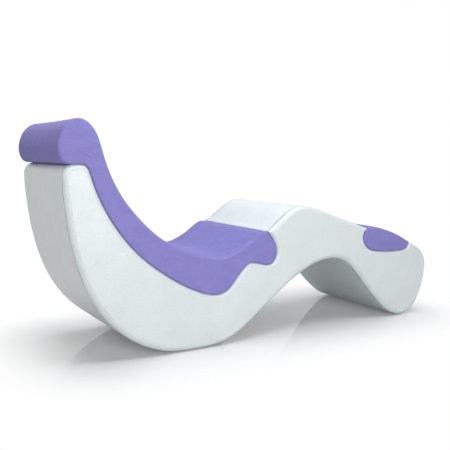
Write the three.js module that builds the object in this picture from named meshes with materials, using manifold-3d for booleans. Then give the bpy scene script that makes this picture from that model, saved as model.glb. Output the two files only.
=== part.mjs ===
// Spa relaxation lounger: a white upholstered shell with a wavy side outline, a lilac cushion from the
// head roll to the knee, and a second cushion on the foot rest. It stands on four hidden levelling feet.
// Millimetres, +X from the head end towards the feet, +Y towards the sitter's left hand, +Z up.
// The origin is on the floor, in the middle of the length and of the width.

import * as THREE from "three";
import { mergeVertices } from "three/addons/utils/BufferGeometryUtils.js";
import Module from "manifold-3d";

const wasm = await Module();
wasm.setup();

// Overall sizes
const loungerLength = 1960;
const loungerWidth = 600;
const loungerHeight = 970;

// Layers, from the outside in
const sidePadThickness = 20;
const coverThickness = 8;
const skinThickness = 6;
const deckThickness = 6;
const frameThickness = 18;
const layerGap = 0.3;

// Rounded edges
const sideEdgeRadius = 18;
const pocketEdgeRadius = 9;
const cornerEdgeRadius = 4.5;
const cushionEdgeRadius = 12;
const cushionCornerRadius = 4.5;
const headRearRadius = 45;
const headFrontRadius = 36;
const seatCrown = 8;
const footCrown = 5;

// Hook-and-loop strips
const stripThickness = 2.5;
const stripWidth = 50;
const stripLength = 400;

// Cross rails
const railWidth = 45;
const railHeight = 30;
const headRailWidth = 36;
const baseRailWidth = 60;
const toeRailWidth = 32;

// Wood screws through the side frames into the rails
const screwLength = 60;
const screwRadius = 2.5;
const screwHeadRadius = 5;
const screwHeadHeight = 4;
const screwTipHeight = 6;
const screwSink = 0.4;

// Levelling feet
const footInset = 100;
const padRadius = 19;
const padHeight = 9;
const padChamfer = 1.5;
const padSocketDepth = 5;
const padHoleRadius = 23;
const stemRadius = 5;
const stemPinRadius = 6;
const stemSpare = 12;
const collarRadius = 9.8;
const collarHeight = 4;
const collarSides = 6;
const collarHoleRadius = 12.5;
const nutFlangeRadius = 11;
const nutFlangeHeight = 1.5;
const nutBarrelRadius = 6.5;
const nutBarrelHeight = 12;

// Holes that lighten the frames
const bigHoleRadius = 92;
const middleHoleRadius = 68;
const smallHoleRadius = 50;

// How far a cut or a line runs past what it cuts
const overrun = 5;
const cornerReach = 8;
const cornerSearch = 60;

// Facets
const samplesPerSpan = 2;
const arcSteps = 4;
const roundSides = 10;
const boltSides = 8;
const padSides = 16;
const holeSides = 12;

// Side outlines: each point is a share of the length from the head end and of the height from the floor
const headPlateauShare = 0.8206;
const headRearShare = 0.0106;
const headFrontShare = 0.0587;
const outerShares = [
  [0.0112, 0.7216], [0.0148, 0.6392], [0.0212, 0.5464], [0.0311, 0.4505],
  [0.0454, 0.3557], [0.0656, 0.268], [0.0934, 0.1835], [0.1286, 0.1134], [0.1714, 0.0557],
  [0.2194, 0.0178], [0.2643, 0.0052], [0.3051, 0.0031], [0.3434, 0.0078], [0.3791, 0.0227],
  [0.4148, 0.0588], [0.4556, 0.1175], [0.5015, 0.1876], [0.5474, 0.2526], [0.5908, 0.3021],
  [0.6327, 0.3335], [0.6714, 0.3454], [0.7056, 0.3351], [0.7347, 0.3031], [0.7704, 0.2268],
  [0.8102, 0.1371], [0.8459, 0.068], [0.8765, 0.0242], [0.9005, 0.0062], [0.9173, 0.0031],
  [0.9398, 0.0124], [0.9612, 0.0423], [0.9796, 0.0959], [0.9934, 0.168], [1, 0.2433],
  [0.9954, 0.3062], [0.9776, 0.3495], [0.954, 0.3763], [0.9357, 0.3918],
];
const footPocketShares = [
  [0.9357, 0.3918], [0.9291, 0.368], [0.9168, 0.3546], [0.8954, 0.3515], [0.8673, 0.3521],
  [0.8367, 0.3567], [0.8112, 0.3639], [0.7939, 0.3763], [0.7811, 0.4], [0.7745, 0.4309],
  [0.777, 0.4577], [0.7852, 0.4804],
];
const kneeShares = [
  [0.7852, 0.4804], [0.7541, 0.5052], [0.7235, 0.5268], [0.6878, 0.5526], [0.6495, 0.5804],
  [0.6138, 0.6031], [0.5857, 0.6124], [0.5633, 0.6072], [0.5418, 0.5866], [0.5184, 0.5526],
  [0.498, 0.5206], [0.4832, 0.5021],
];
const cradleShares = [
  [0.4832, 0.5021], [0.4949, 0.4763], [0.5041, 0.4464], [0.5092, 0.4093], [0.5061, 0.3784],
  [0.4964, 0.3546], [0.4821, 0.3485], [0.4643, 0.3557], [0.448, 0.3629], [0.4342, 0.3639],
  [0.4209, 0.3474], [0.4041, 0.3134], [0.3878, 0.2742], [0.3714, 0.2474], [0.352, 0.2371],
  [0.3265, 0.2433], [0.2959, 0.266], [0.2551, 0.3082], [0.2102, 0.368], [0.1658, 0.4412],
  [0.1301, 0.5227], [0.1046, 0.5979], [0.0857, 0.6691], [0.0719, 0.7381], [0.0628, 0.7948],
];
const seatingShares = [
  [0.4832, 0.5021], [0.4704, 0.5031], [0.4556, 0.4907], [0.4398, 0.468], [0.4214, 0.4423],
  [0.4031, 0.4237], [0.3827, 0.4072], [0.3648, 0.4], [0.3444, 0.401], [0.3112, 0.4165],
  [0.2755, 0.4402], [0.2372, 0.4763], [0.2015, 0.5278], [0.1658, 0.5979], [0.1367, 0.6701],
  [0.1163, 0.7402], [0.1031, 0.8021], [0.0939, 0.8577], [0.0857, 0.9103], [0.0755, 0.9546],
  [0.0612, 0.9866], [0.0428, 1], [0.0245, 0.9866], [0.0102, 0.9567], [0.0026, 0.9175],
  [0, 0.8845], [0.0031, 0.8495], [0.0102, 0.8278],
];
const bolsterToeShare = 0.0204;
const footTopShares = [
  [0.9357, 0.3918], [0.9214, 0.4062], [0.898, 0.4309], [0.8673, 0.4557], [0.8367, 0.4742],
  [0.8112, 0.4845], [0.7964, 0.4856], [0.7852, 0.4804],
];

// Where things lie along the lines: each is put at the line's nearest point to a spot in the side view
const railShares = {
  head_rail: [0.0413, 0.8206],
  back_rail: [0.0311, 0.4505],
  belly_rail: [0.3051, 0.0031],
  seat_rail: [0.352, 0.2371],
  knee_rail: [0.5857, 0.6124],
  arch_rail: [0.6714, 0.3454],
  foot_rail: [0.8673, 0.3521],
  toe_rail: [0.9173, 0.0031],
};
const stripShares = {
  back_strip: [0.1301, 0.5227],
  seat_strip: [0.2755, 0.287],
  foot_strip: [0.8673, 0.3521],
};
const skinStartShares = [0.0469, 0.8206];
const backJointShares = [0.3469, 0.0088];
const archJointShares = [0.8673, 0.0407];
const deckMargin = 12;
const headJointMargin = 3;

// Rings of a rounded edge, as shares of its radius, and of a cushion, as shares of its width
const padEdgeShares = [0, 0.12, 0.45];
const cushionEdgeShares = [0, 0.2, 1];
const cushionBodyShares = [0.2, 0.5, 0.8];
const seatCrownShares = [0.05, 0.14, 0.62, 0.74];
const footCrownShares = [0, 0.3, 0.7, 1];

// Centres of the holes that lighten the frames: shares of the length and height, and the hole's radius
const frameHoles = [
  { shares: [0.0643, 0.5773], radius: smallHoleRadius },
  { shares: [0.102, 0.433], radius: middleHoleRadius },
  { shares: [0.148, 0.2577], radius: bigHoleRadius },
  { shares: [0.2449, 0.1546], radius: bigHoleRadius },
  { shares: [0.3571, 0.1082], radius: smallHoleRadius },
  { shares: [0.4337, 0.2289], radius: middleHoleRadius },
  { shares: [0.5765, 0.4381], radius: bigHoleRadius },
  { shares: [0.6684, 0.4742], radius: smallHoleRadius },
  { shares: [0.7398, 0.4072], radius: smallHoleRadius },
  { shares: [0.8622, 0.2062], radius: middleHoleRadius },
  { shares: [0.9464, 0.2216], radius: middleHoleRadius },
];

// Materials
const finish = (color, roughness, metalness = 0) =>
  new THREE.MeshStandardMaterial({ color, roughness, metalness });
const whiteLeather = finish(0xdfe6e5, 0.5);
const lilacFabric = finish(0x9a92d8, 0.85);
const plywood = finish(0xd8bb8c, 0.7);
const beech = finish(0xc99a64, 0.65);
const zincSteel = finish(0xb9bdc1, 0.35, 0.9);
const blackRubber = finish(0x2c2d2f, 0.85);
const hookStrip = finish(0x4b4770, 0.9);

// Lines: arrays of points in the side view, x along the length and y up from the floor

const place = ([along, up]) => new THREE.Vector2(along * loungerLength, up * loungerHeight);

const smoothLine = (points) => {
  const control = points.map(({ x, y }) => new THREE.Vector3(x, y, 0));
  const curve = new THREE.CatmullRomCurve3(control, false, "centripetal");
  const samples = samplesPerSpan * (control.length - 1);
  return curve.getPoints(samples).map(({ x, y }) => new THREE.Vector2(x, y));
};

// The arc that rounds a corner between two straight stretches
const roundCorner = (before, corner, after, radius) => {
  const back = before.clone().sub(corner).normalize();
  const ahead = after.clone().sub(corner).normalize();
  const half = Math.acos(back.dot(ahead)) / 2;
  const centre = back.clone().add(ahead).setLength(radius / Math.sin(half)).add(corner);
  const start = back.clone().setLength(radius / Math.tan(half)).add(corner);
  const sweep = (Math.PI - 2 * half) * Math.sign(ahead.cross(back));
  return Array.from({ length: arcSteps + 1 }, (_, step) =>
    start.clone().rotateAround(centre, (sweep * step) / arcSteps));
};

const leftOf = (from, to) => new THREE.Vector2(from.y - to.y, to.x - from.x).normalize();

// Moves each point to the left of the line's run, so that the new line is parallel to the old one
const shiftLine = (line, depths, closed = false) => line.map((point, i) => {
  const depth = Array.isArray(depths) ? depths[i] : depths;
  const before = closed ? line.at(i - 1) : line[i - 1];
  const after = closed ? line[(i + 1) % line.length] : line[i + 1];
  const first = before ? leftOf(before, point) : leftOf(point, after);
  const second = after ? leftOf(point, after) : first;
  const middle = first.clone().add(second).normalize();
  return point.clone().addScaledVector(middle, depth / middle.dot(first));
});

const reversed = (line) => [...line].reverse();

const lineLength = (line) =>
  line.slice(1).reduce((sum, point, i) => sum + point.distanceTo(line[i]), 0);

// The point that lies a given distance along the line, and the number of the point after it
const pointAt = (line, distance) => {
  let left = distance;
  for (let i = 1; i < line.length; i += 1) {
    const step = line[i].distanceTo(line[i - 1]);
    if (left <= step || i === line.length - 1)
      return { point: line[i - 1].clone().lerp(line[i], Math.min(left / step, 1)), next: i };
    left -= step;
  }
};

// How far along the line its nearest point to a spot lies
const nearestAlong = (line, spot) => {
  let passed = 0;
  let best = { distance: Infinity, along: 0 };
  for (let i = 1; i < line.length; i += 1) {
    const step = line[i].clone().sub(line[i - 1]);
    const share = spot.clone().sub(line[i - 1]).dot(step) / step.lengthSq();
    const there = THREE.MathUtils.clamp(share, 0, 1);
    const distance = line[i - 1].clone().addScaledVector(step, there).distanceTo(spot);
    if (distance < best.distance) best = { distance, along: passed + there * step.length() };
    passed += step.length();
  }
  return best.along;
};

const stretch = (line, from, to) => {
  const start = pointAt(line, from);
  const end = pointAt(line, to);
  const between = line.slice(start.next, end.next);
  return joinPoints([start.point, ...between, end.point]);
};

// Leaves out points that repeat the one before them
const joinPoints = (points) =>
  points.filter((point, i) => i === 0 || point.distanceTo(points[i - 1]) > layerGap);

const extendEnd = (line, reach) => {
  const last = line.at(-1);
  const ahead = last.clone().sub(line.at(-2)).setLength(reach);
  return [...line, last.clone().add(ahead)];
};

const extendStart = (line, reach) => reversed(extendEnd(reversed(line), reach));

const extendBoth = (line, reach) => extendStart(extendEnd(line, reach), reach);

const crossing = (a, b, c, d) => {
  const along = b.clone().sub(a);
  const other = d.clone().sub(c);
  const slant = along.cross(other);
  const gap = c.clone().sub(a);
  const onFirst = gap.cross(other) / slant;
  const onSecond = gap.cross(along) / slant;
  const meets = onFirst >= 0 && onFirst <= 1 && onSecond >= 0 && onSecond <= 1;
  return meets ? a.clone().addScaledVector(along, onFirst) : null;
};

// Cuts the end of one line and the start of the next where they cross, if that is close to the joint
const trimPair = (first, second) => {
  for (let i = first.length - 1; i > 0; i -= 1)
    for (let j = 1; j < second.length; j += 1) {
      const point = crossing(first[i - 1], first[i], second[j - 1], second[j]);
      if (!point) continue;
      const away = Math.min(point.distanceTo(first.at(-1)), point.distanceTo(second[0]));
      if (away < cornerSearch) return [[...first.slice(0, i), point], [point, ...second.slice(j)]];
    }
  return [first, second];
};

// Trims lines that follow each other round a loop, and drops each line's last point where the next has it
const trimLines = (lines) => {
  const trimmed = [...lines];
  lines.forEach((_, i) => {
    const next = (i + 1) % lines.length;
    [trimmed[i], trimmed[next]] = trimPair(trimmed[i], trimmed[next]);
  });
  return trimmed.map((line, i) => {
    const points = joinPoints(line);
    const follower = trimmed[(i + 1) % trimmed.length][0];
    return points.at(-1).distanceTo(follower) > layerGap / 2 ? points : points.slice(0, -1);
  });
};

const loopOf = (lines) => trimLines(lines).flat();

const bandLoop = (line, outerDepth, innerDepth) =>
  [...shiftLine(line, outerDepth), ...reversed(shiftLine(line, innerDepth))];

// Solids

// Shares the vertices of neighbouring faces, before the geometry is turned or moved
const weld = (geometry) => {
  geometry.deleteAttribute("normal");
  geometry.deleteAttribute("uv");
  return mergeVertices(geometry);
};

const toSolid = (welded) => {
  const corners = Array.from(welded.index.array);
  const triangles = [];
  for (let i = 0; i < corners.length; i += 3) {
    const [a, b, c] = corners.slice(i, i + 3);
    if (a !== b && b !== c && c !== a) triangles.push(a, b, c);
  }
  const vertProperties = welded.attributes.position.array;
  const triVerts = Uint32Array.from(triangles);
  return new wasm.Manifold(new wasm.Mesh({ numProp: 3, vertProperties, triVerts }));
};

const toGeometry = (solid) => {
  const mesh = solid.getMesh();
  const geometry = new THREE.BufferGeometry();
  geometry.setAttribute("position", new THREE.BufferAttribute(mesh.vertProperties, mesh.numProp));
  return geometry.setIndex(new THREE.BufferAttribute(mesh.triVerts, 1));
};

const cut = (geometry, ...cutters) =>
  toGeometry(cutters.reduce((solid, cutter) => solid.subtract(toSolid(cutter)), toSolid(geometry)));

const join = (first, second) => toGeometry(toSolid(first).add(toSolid(second)));

// A plate with the given outline, between two places across the width
const slab = (loop, fromY, toY) => {
  const settings = { depth: toY - fromY, bevelEnabled: false };
  const geometry = weld(new THREE.ExtrudeGeometry(new THREE.Shape(loop), settings));
  return geometry.rotateX(Math.PI / 2).translate(0, toY, 0);
};

// A body through rings of equally many points, from low to high y
const loft = (rings) => {
  const count = rings[0].points.length;
  const positions = rings.flatMap(({ y, points }) => points.flatMap((point) => [point.x, y, point.y]));
  const faces = [];
  for (let ring = 0; ring < rings.length - 1; ring += 1)
    for (let i = 0; i < count; i += 1) {
      const here = ring * count + i;
      const beside = ring * count + ((i + 1) % count);
      faces.push(here, beside + count, beside, here, here + count, beside + count);
    }
  const lastStart = (rings.length - 1) * count;
  for (const [a, b, c] of THREE.ShapeUtils.triangulateShape(rings[0].points, []))
    faces.push(a, b, c);
  for (const [a, b, c] of THREE.ShapeUtils.triangulateShape(rings.at(-1).points, []))
    faces.push(lastStart + c, lastStart + b, lastStart + a);
  const geometry = new THREE.BufferGeometry();
  geometry.setAttribute("position", new THREE.Float32BufferAttribute(positions, 3));
  return geometry.setIndex(faces);
};

// A turned body with its axis along +Y
const turned = (profile, sides) =>
  weld(new THREE.LatheGeometry(profile.map(([x, y]) => new THREE.Vector2(x, y)), sides));

const rod = (radius, length, sides) =>
  weld(new THREE.CylinderGeometry(radius, radius, length, sides));

const rodUp = (radius, length, sides) => rod(radius, length, sides).rotateX(Math.PI / 2);

// How far a rounded edge draws in at a given distance from its face
const edgeInset = (radius, distance) =>
  distance < radius ? radius - Math.sqrt(radius ** 2 - (radius - distance) ** 2) : 0;

const addPiece = (parent, name, geometry, material) => {
  const faceted = geometry.toNonIndexed();
  faceted.computeVertexNormals();
  const mesh = new THREE.Mesh(faceted, material);
  mesh.name = name;
  parent.add(mesh);
};

// The four lines of the shell's side view, each starting where the one before ends

const headFrontCorner = place([headFrontShare, headPlateauShare]);
const headRearCorner = place([headRearShare, headPlateauShare]);
const cradleEnd = place(cradleShares.at(-1));
const headFrontArc = roundCorner(cradleEnd, headFrontCorner, headRearCorner, headFrontRadius);
const headRearArc = roundCorner(headFrontCorner, headRearCorner, place(outerShares[0]), headRearRadius);

const outerLine = [
  ...headFrontArc,
  ...headRearArc.slice(0, -1),
  ...smoothLine([headRearArc.at(-1), ...outerShares.map(place)]),
];
const pocketLine = smoothLine(footPocketShares.map(place));
const kneeLine = smoothLine(kneeShares.map(place));
const cradleLine = smoothLine([...cradleShares.map(place), headFrontArc[0]]);

// The same lines run past the three sharp corners, so that parallel lines meet there at any depth
const outerReach = extendEnd(outerLine, cornerReach);
const pocketReach = extendBoth(pocketLine, cornerReach);
const kneeReach = extendBoth(kneeLine, cornerReach);
const cradleReach = extendStart(cradleLine, cornerReach);

const outerLength = lineLength(outerLine);
const cradleLength = lineLength(cradleLine);
const pocketLength = lineLength(pocketLine);

// Depths of the layers under the shell's surface
const skinDepth = coverThickness + layerGap;
const skinEnd = skinDepth + skinThickness;
const frameDepth = skinEnd + layerGap;
const frameDepthUnderDeck = deckThickness + layerGap;

// Places across the width
const coverFromY = sidePadThickness + layerGap;
const coverToY = loungerWidth - coverFromY;
const railFromY = coverFromY + frameThickness + layerGap;
const railLength = loungerWidth - 2 * railFromY;

// Side pads: the whole outline, with a wide rounded edge outside and a narrow one round the cushions

const shellLines = [outerReach, pocketReach, kneeReach, cradleReach];
const shellRadii = [sideEdgeRadius, pocketEdgeRadius, sideEdgeRadius, pocketEdgeRadius];

const blendRadii = (radii) => radii.map((radius, i) =>
  (radii.at(i - 1) + radius + radii[(i + 1) % radii.length]) / 3);

const makeSidePad = (mirrored) => {
  const lines = trimLines(shellLines);
  const loop = lines.flat();
  const corners = lines.slice(1).map((line) => line[0]);
  const wide = lines.flatMap((line, i) => line.map(() => shellRadii[i]));
  const radii = blendRadii(blendRadii(wide)).map((radius, i) =>
    corners.includes(loop[i]) ? cornerEdgeRadius : radius);
  const rings = [...padEdgeShares.map((share) => share * sideEdgeRadius), sidePadThickness]
    .map((distance) => ({
      y: mirrored ? loungerWidth - distance : distance,
      points: shiftLine(loop, radii.map((radius) => edgeInset(radius, distance)), true),
    }));
  return loft(mirrored ? rings.reverse() : rings);
};

// Covers, skins and decks: bands along the lines, trimmed where two lines meet in a corner

const skinStart = nearestAlong(outerLine, place(skinStartShares));
const backJoint = nearestAlong(outerLine, place(backJointShares));
const archJoint = nearestAlong(outerLine, place(archJointShares));
const backStretch = stretch(outerLine, headJointMargin, backJoint - layerGap);
const backSkinStretch = stretch(outerLine, skinStart, backJoint - layerGap);
const archStretch = stretch(outerLine, backJoint, archJoint - layerGap);
const toeStretch = stretch(outerReach, archJoint, outerLength + cornerReach);
const seatDeckStretch = stretch(cradleLine, deckMargin, cradleLength - headJointMargin);
const footDeckStretch = stretch(pocketLine, deckMargin, pocketLength - deckMargin);

const toeLoop = (fromDepth, toDepth, pocketDepth) => loopOf([
  shiftLine(toeStretch, fromDepth),
  shiftLine(pocketReach, pocketDepth),
  reversed(shiftLine(toeStretch, toDepth)),
]);

const kneeLoop = (fromDepth, toDepth, deckDepth) => loopOf([
  shiftLine(kneeReach, fromDepth),
  shiftLine(cradleReach, deckDepth),
  reversed(shiftLine(kneeReach, toDepth)),
  shiftLine(pocketReach, deckDepth),
]);

const frameLoop = loopOf([
  shiftLine(outerReach, frameDepth),
  shiftLine(pocketReach, frameDepthUnderDeck),
  shiftLine(kneeReach, frameDepth),
  shiftLine(cradleReach, frameDepthUnderDeck),
]);

const acrossWidth = (loop) => slab(loop, coverFromY, coverToY);

// Cross rails: flat against the nearest skin or deck, square to their line or level with the floor

const placeRail = ({ name, line, depth, width, level }) => {
  const at = nearestAlong(line, place(railShares[name]));
  const { point, next } = pointAt(line, at);
  const along = level ? new THREE.Vector2(1, 0) : line[next].clone().sub(line[next - 1]).normalize();
  const inward = leftOf(new THREE.Vector2(), along);
  const backing = shiftLine(stretch(line, at - width, at + width), depth)
    .map((spot) => spot.clone().sub(point))
    .map((spot) => new THREE.Vector2(spot.dot(along), spot.dot(inward)));
  const reach = Math.max(...backing.slice(1).flatMap((spot, i) =>
    [-width / 2, width / 2].map((edge) => {
      const share = (edge - backing[i].x) / (spot.x - backing[i].x);
      const there = backing[i].clone().lerp(spot, THREE.MathUtils.clamp(share, 0, 1));
      return Math.abs(there.x) <= width / 2 + layerGap ? there.y : -Infinity;
    })));
  const centre = point.clone().addScaledVector(inward, reach + layerGap + railHeight / 2);
  return { name, centre, angle: along.angle(), width };
};

const rails = [
  { name: "head_rail", line: outerLine, depth: skinEnd, width: headRailWidth },
  { name: "back_rail", line: outerLine, depth: skinEnd, width: railWidth },
  { name: "belly_rail", line: outerLine, depth: skinEnd, width: baseRailWidth, level: true },
  { name: "seat_rail", line: cradleLine, depth: deckThickness, width: railWidth },
  { name: "knee_rail", line: kneeLine, depth: skinEnd, width: railWidth },
  { name: "arch_rail", line: outerLine, depth: skinEnd, width: railWidth },
  { name: "foot_rail", line: pocketLine, depth: deckThickness, width: railWidth },
  { name: "toe_rail", line: outerLine, depth: skinEnd, width: toeRailWidth, level: true },
].map(placeRail);

// The rail's own body, or the notch for it, which is wider by a clearance and open towards the outside
const railBox = ({ centre, angle, width }, length, clearance = 0, outward = 0) =>
  weld(new THREE.BoxGeometry(width + 2 * clearance, length, railHeight + clearance + outward))
    .translate(0, 0, (clearance - outward) / 2)
    .rotateY(-angle)
    .translate(centre.x, loungerWidth / 2, centre.y);

const screwProfile = (clearance, headReach) => [
  [0, -headReach],
  [screwHeadRadius + clearance, -headReach],
  [screwHeadRadius + clearance, 0],
  [screwRadius + clearance, screwHeadHeight],
  [screwRadius + clearance, screwLength - screwTipHeight],
  [0, screwLength + clearance],
];

// A screw, or the hole for it, at a rail's end: on the right side it points to +Y, on the left to -Y
const screwShape = ({ centre }, side, clearance, headReach) => {
  const geometry = turned(screwProfile(clearance, headReach), boltSides);
  const headY = coverFromY + screwSink;
  if (side === "left") geometry.rotateZ(Math.PI);
  return geometry.translate(centre.x, side === "left" ? loungerWidth - headY : headY, centre.y);
};

const screwHoles = (rail) => ["right", "left"].map((side) =>
  screwShape(rail, side, layerGap, screwSink + overrun));

// Levelling feet: a glide pad, a threaded stem that turns in it, and a tee nut on the base rail

const turnUp = (profile, sides) => turned(profile, sides).rotateX(Math.PI / 2);

const padShape = () => turnUp([
  [0, 0],
  [padRadius - padChamfer, 0],
  [padRadius, padChamfer],
  [padRadius, padHeight - padChamfer],
  [padRadius - padChamfer, padHeight],
  [stemPinRadius + layerGap, padHeight],
  [stemPinRadius + layerGap, padHeight - padSocketDepth],
  [0, padHeight - padSocketDepth],
], padSides);

const stemShape = (top) => {
  const pinBottom = padHeight - padSocketDepth + layerGap;
  const shoulder = padHeight + layerGap;
  const spindle = turnUp([
    [0, pinBottom],
    [stemPinRadius, pinBottom],
    [stemPinRadius, shoulder],
    [stemRadius, shoulder],
    [stemRadius, top - padChamfer],
    [stemRadius - padChamfer, top],
    [0, top],
  ], roundSides);
  const collar = rodUp(collarRadius, collarHeight, collarSides)
    .translate(0, 0, shoulder + collarHeight / 2);
  return join(spindle, collar);
};

const nutShape = (seat) => turnUp([
  [stemRadius + layerGap, seat - nutBarrelHeight],
  [nutBarrelRadius, seat - nutBarrelHeight],
  [nutBarrelRadius, seat],
  [nutFlangeRadius, seat],
  [nutFlangeRadius, seat + nutFlangeHeight],
  [stemRadius + layerGap, seat + nutFlangeHeight],
  [stemRadius + layerGap, seat - nutBarrelHeight],
], roundSides);

const railNamed = (name) => rails.find((rail) => rail.name === name);
const bellyRail = railNamed("belly_rail");
const toeRail = railNamed("toe_rail");
const feet = [
  { name: "rear_right_foot", rail: bellyRail, y: footInset },
  { name: "rear_left_foot", rail: bellyRail, y: loungerWidth - footInset },
  { name: "front_right_foot", rail: toeRail, y: footInset },
  { name: "front_left_foot", rail: toeRail, y: loungerWidth - footInset },
];

const footBores = (rail, radius, sides) => feet.filter((foot) => foot.rail === rail).map(({ y }) =>
  rodUp(radius, loungerHeight / 2, sides).translate(rail.centre.x, y, 0));

// Cushions: lofts across the width, with rounded edges and a crown on the side that is sat on

const crownWeight = (share, [from, full, fall, end]) =>
  THREE.MathUtils.smoothstep(share, from, full) * (1 - THREE.MathUtils.smoothstep(share, fall, end));

const makeCushion = (topLine, underLine, crownShares, crown) => {
  const [top, under] = trimLines([topLine, underLine]);
  const loop = [...top, ...under];
  const along = loop.map((_, i) => i / (top.length - 1));
  const bulges = along.map((share) => (share <= 1 ? crown * crownWeight(share, crownShares) : 0));
  const radii = loop.map((_, i) =>
    (i === 0 || i === top.length - 1 ? cushionCornerRadius : cushionEdgeRadius));
  const nearEdge = cushionEdgeShares.map((share) => share * cushionEdgeRadius);
  const places = [
    ...nearEdge,
    ...cushionBodyShares.map((share) => share * loungerWidth),
    ...reversed(nearEdge).map((distance) => loungerWidth - distance),
  ];
  return loft(places.map((y) => {
    const distance = Math.min(y, loungerWidth - y);
    const fullness = 1 - (1 - (2 * distance) / loungerWidth) ** 4;
    return {
      y,
      points: shiftLine(loop, radii.map((radius, i) =>
        edgeInset(radius, distance) - bulges[i] * fullness), true),
    };
  }));
};

const bolsterToe = new THREE.Vector2(place([bolsterToeShare, 0]).x, headFrontCorner.y + layerGap);
const seatingLine = smoothLine([...seatingShares.map(place), bolsterToe]);
const cushionBedLine = reversed([...cradleLine, ...headFrontArc.slice(1), headRearArc[0]]);
const mainUnderLine = extendEnd(shiftLine(cushionBedLine, layerGap), cornerReach);
const footTopLine = smoothLine(footTopShares.map(place));
const footUnderLine = extendBoth(shiftLine(reversed(pocketLine), layerGap), cornerReach);

// Hook-and-loop strips: on a deck, in a shallow recess of the cushion

const stripStretch = (name, line, extra = 0) => {
  const at = nearestAlong(line, place(stripShares[name]));
  return stretch(line, at - stripWidth / 2 - extra, at + stripWidth / 2 + extra);
};

const stripShape = (name, line) => {
  const fromY = (loungerWidth - stripLength) / 2;
  const loop = bandLoop(stripStretch(name, line), -layerGap - stripThickness, -layerGap);
  return slab(loop, fromY, fromY + stripLength);
};

const stripRecess = (name, line) => {
  const fromY = (loungerWidth - stripLength) / 2 - layerGap;
  const depth = layerGap + stripThickness + layerGap;
  const loop = bandLoop(stripStretch(name, line, layerGap), -depth, overrun);
  return slab(loop, fromY, loungerWidth - fromY);
};

// The shell

const shell = new THREE.Group();
addPiece(shell, "right_side_pad", makeSidePad(false), whiteLeather);
addPiece(shell, "left_side_pad", makeSidePad(true), whiteLeather);

const padBores = (rail) => footBores(rail, padHoleRadius, padSides);
const backCover = acrossWidth(bandLoop(backStretch, 0, coverThickness));
const archCover = acrossWidth(bandLoop(archStretch, 0, coverThickness));
const toeCover = acrossWidth(toeLoop(0, coverThickness, 0));
const kneeCover = acrossWidth(kneeLoop(0, coverThickness, 0));
addPiece(shell, "back_cover", cut(backCover, ...padBores(bellyRail)), whiteLeather);
addPiece(shell, "arch_cover", archCover, whiteLeather);
addPiece(shell, "toe_cover", cut(toeCover, ...padBores(toeRail)), whiteLeather);
addPiece(shell, "knee_cover", kneeCover, whiteLeather);

const collarBores = (rail) => footBores(rail, collarHoleRadius, roundSides);
const backSkin = acrossWidth(bandLoop(backSkinStretch, skinDepth, skinEnd));
const archSkin = acrossWidth(bandLoop(archStretch, skinDepth, skinEnd));
const toeSkin = acrossWidth(toeLoop(skinDepth, skinEnd, frameDepthUnderDeck));
const kneeSkin = acrossWidth(kneeLoop(skinDepth, skinEnd, frameDepthUnderDeck));
addPiece(shell, "back_skin", cut(backSkin, ...collarBores(bellyRail)), plywood);
addPiece(shell, "arch_skin", archSkin, plywood);
addPiece(shell, "toe_skin", cut(toeSkin, ...collarBores(toeRail)), plywood);
addPiece(shell, "knee_skin", kneeSkin, plywood);
addPiece(shell, "seat_deck", acrossWidth(bandLoop(seatDeckStretch, 0, deckThickness)), plywood);
addPiece(shell, "foot_deck", acrossWidth(bandLoop(footDeckStretch, 0, deckThickness)), plywood);

const lightening = frameHoles.map(({ shares, radius }) => {
  const centre = place(shares);
  return rod(radius, loungerWidth, holeSides).translate(centre.x, loungerWidth / 2, centre.y);
});
const allScrewHoles = rails.flatMap(screwHoles);
const notches = rails.map((rail) => railBox(rail, railLength, layerGap, railHeight));
const centreFrom = (loungerWidth - frameThickness) / 2;
const rightFrame = slab(frameLoop, coverFromY, coverFromY + frameThickness);
const leftFrame = slab(frameLoop, coverToY - frameThickness, coverToY);
const centreFrame = slab(frameLoop, centreFrom, centreFrom + frameThickness);
addPiece(shell, "right_side_frame", cut(rightFrame, ...lightening, ...allScrewHoles), plywood);
addPiece(shell, "left_side_frame", cut(leftFrame, ...lightening, ...allScrewHoles), plywood);
addPiece(shell, "centre_frame", cut(centreFrame, ...lightening, ...notches), plywood);

for (const rail of rails) {
  const nutBores = footBores(rail, nutBarrelRadius + layerGap, roundSides);
  const body = cut(railBox(rail, railLength), ...screwHoles(rail), ...nutBores);
  addPiece(shell, rail.name, body, beech);
  for (const side of ["right", "left"])
    addPiece(shell, `${rail.name}_screw_${side}`, screwShape(rail, side, 0, 0), zincSteel);
}

// The cushions and their strips

const cushions = new THREE.Group();
const mainCushion = makeCushion(seatingLine, mainUnderLine, seatCrownShares, seatCrown);
const footCushion = makeCushion(footTopLine, footUnderLine, footCrownShares, footCrown);
const mainRecesses = ["back_strip", "seat_strip"].map((name) => stripRecess(name, cradleLine));
addPiece(cushions, "main_cushion", cut(mainCushion, ...mainRecesses), lilacFabric);
addPiece(cushions, "foot_cushion", cut(footCushion, stripRecess("foot_strip", pocketLine)), lilacFabric);
addPiece(cushions, "back_strip", stripShape("back_strip", cradleLine), hookStrip);
addPiece(cushions, "seat_strip", stripShape("seat_strip", cradleLine), hookStrip);
addPiece(cushions, "foot_strip", stripShape("foot_strip", pocketLine), hookStrip);

// The feet

const levellers = new THREE.Group();
for (const { name, rail, y } of feet) {
  const nutSeat = rail.centre.y + railHeight / 2 + layerGap;
  const foot = new THREE.Group();
  foot.position.set(rail.centre.x, y, 0);
  addPiece(foot, `${name}_pad`, padShape(), blackRubber);
  addPiece(foot, `${name}_stem`, stemShape(nutSeat + stemSpare), zincSteel);
  addPiece(foot, `${name}_nut`, nutShape(nutSeat), zincSteel);
  levellers.add(foot);
}

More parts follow.
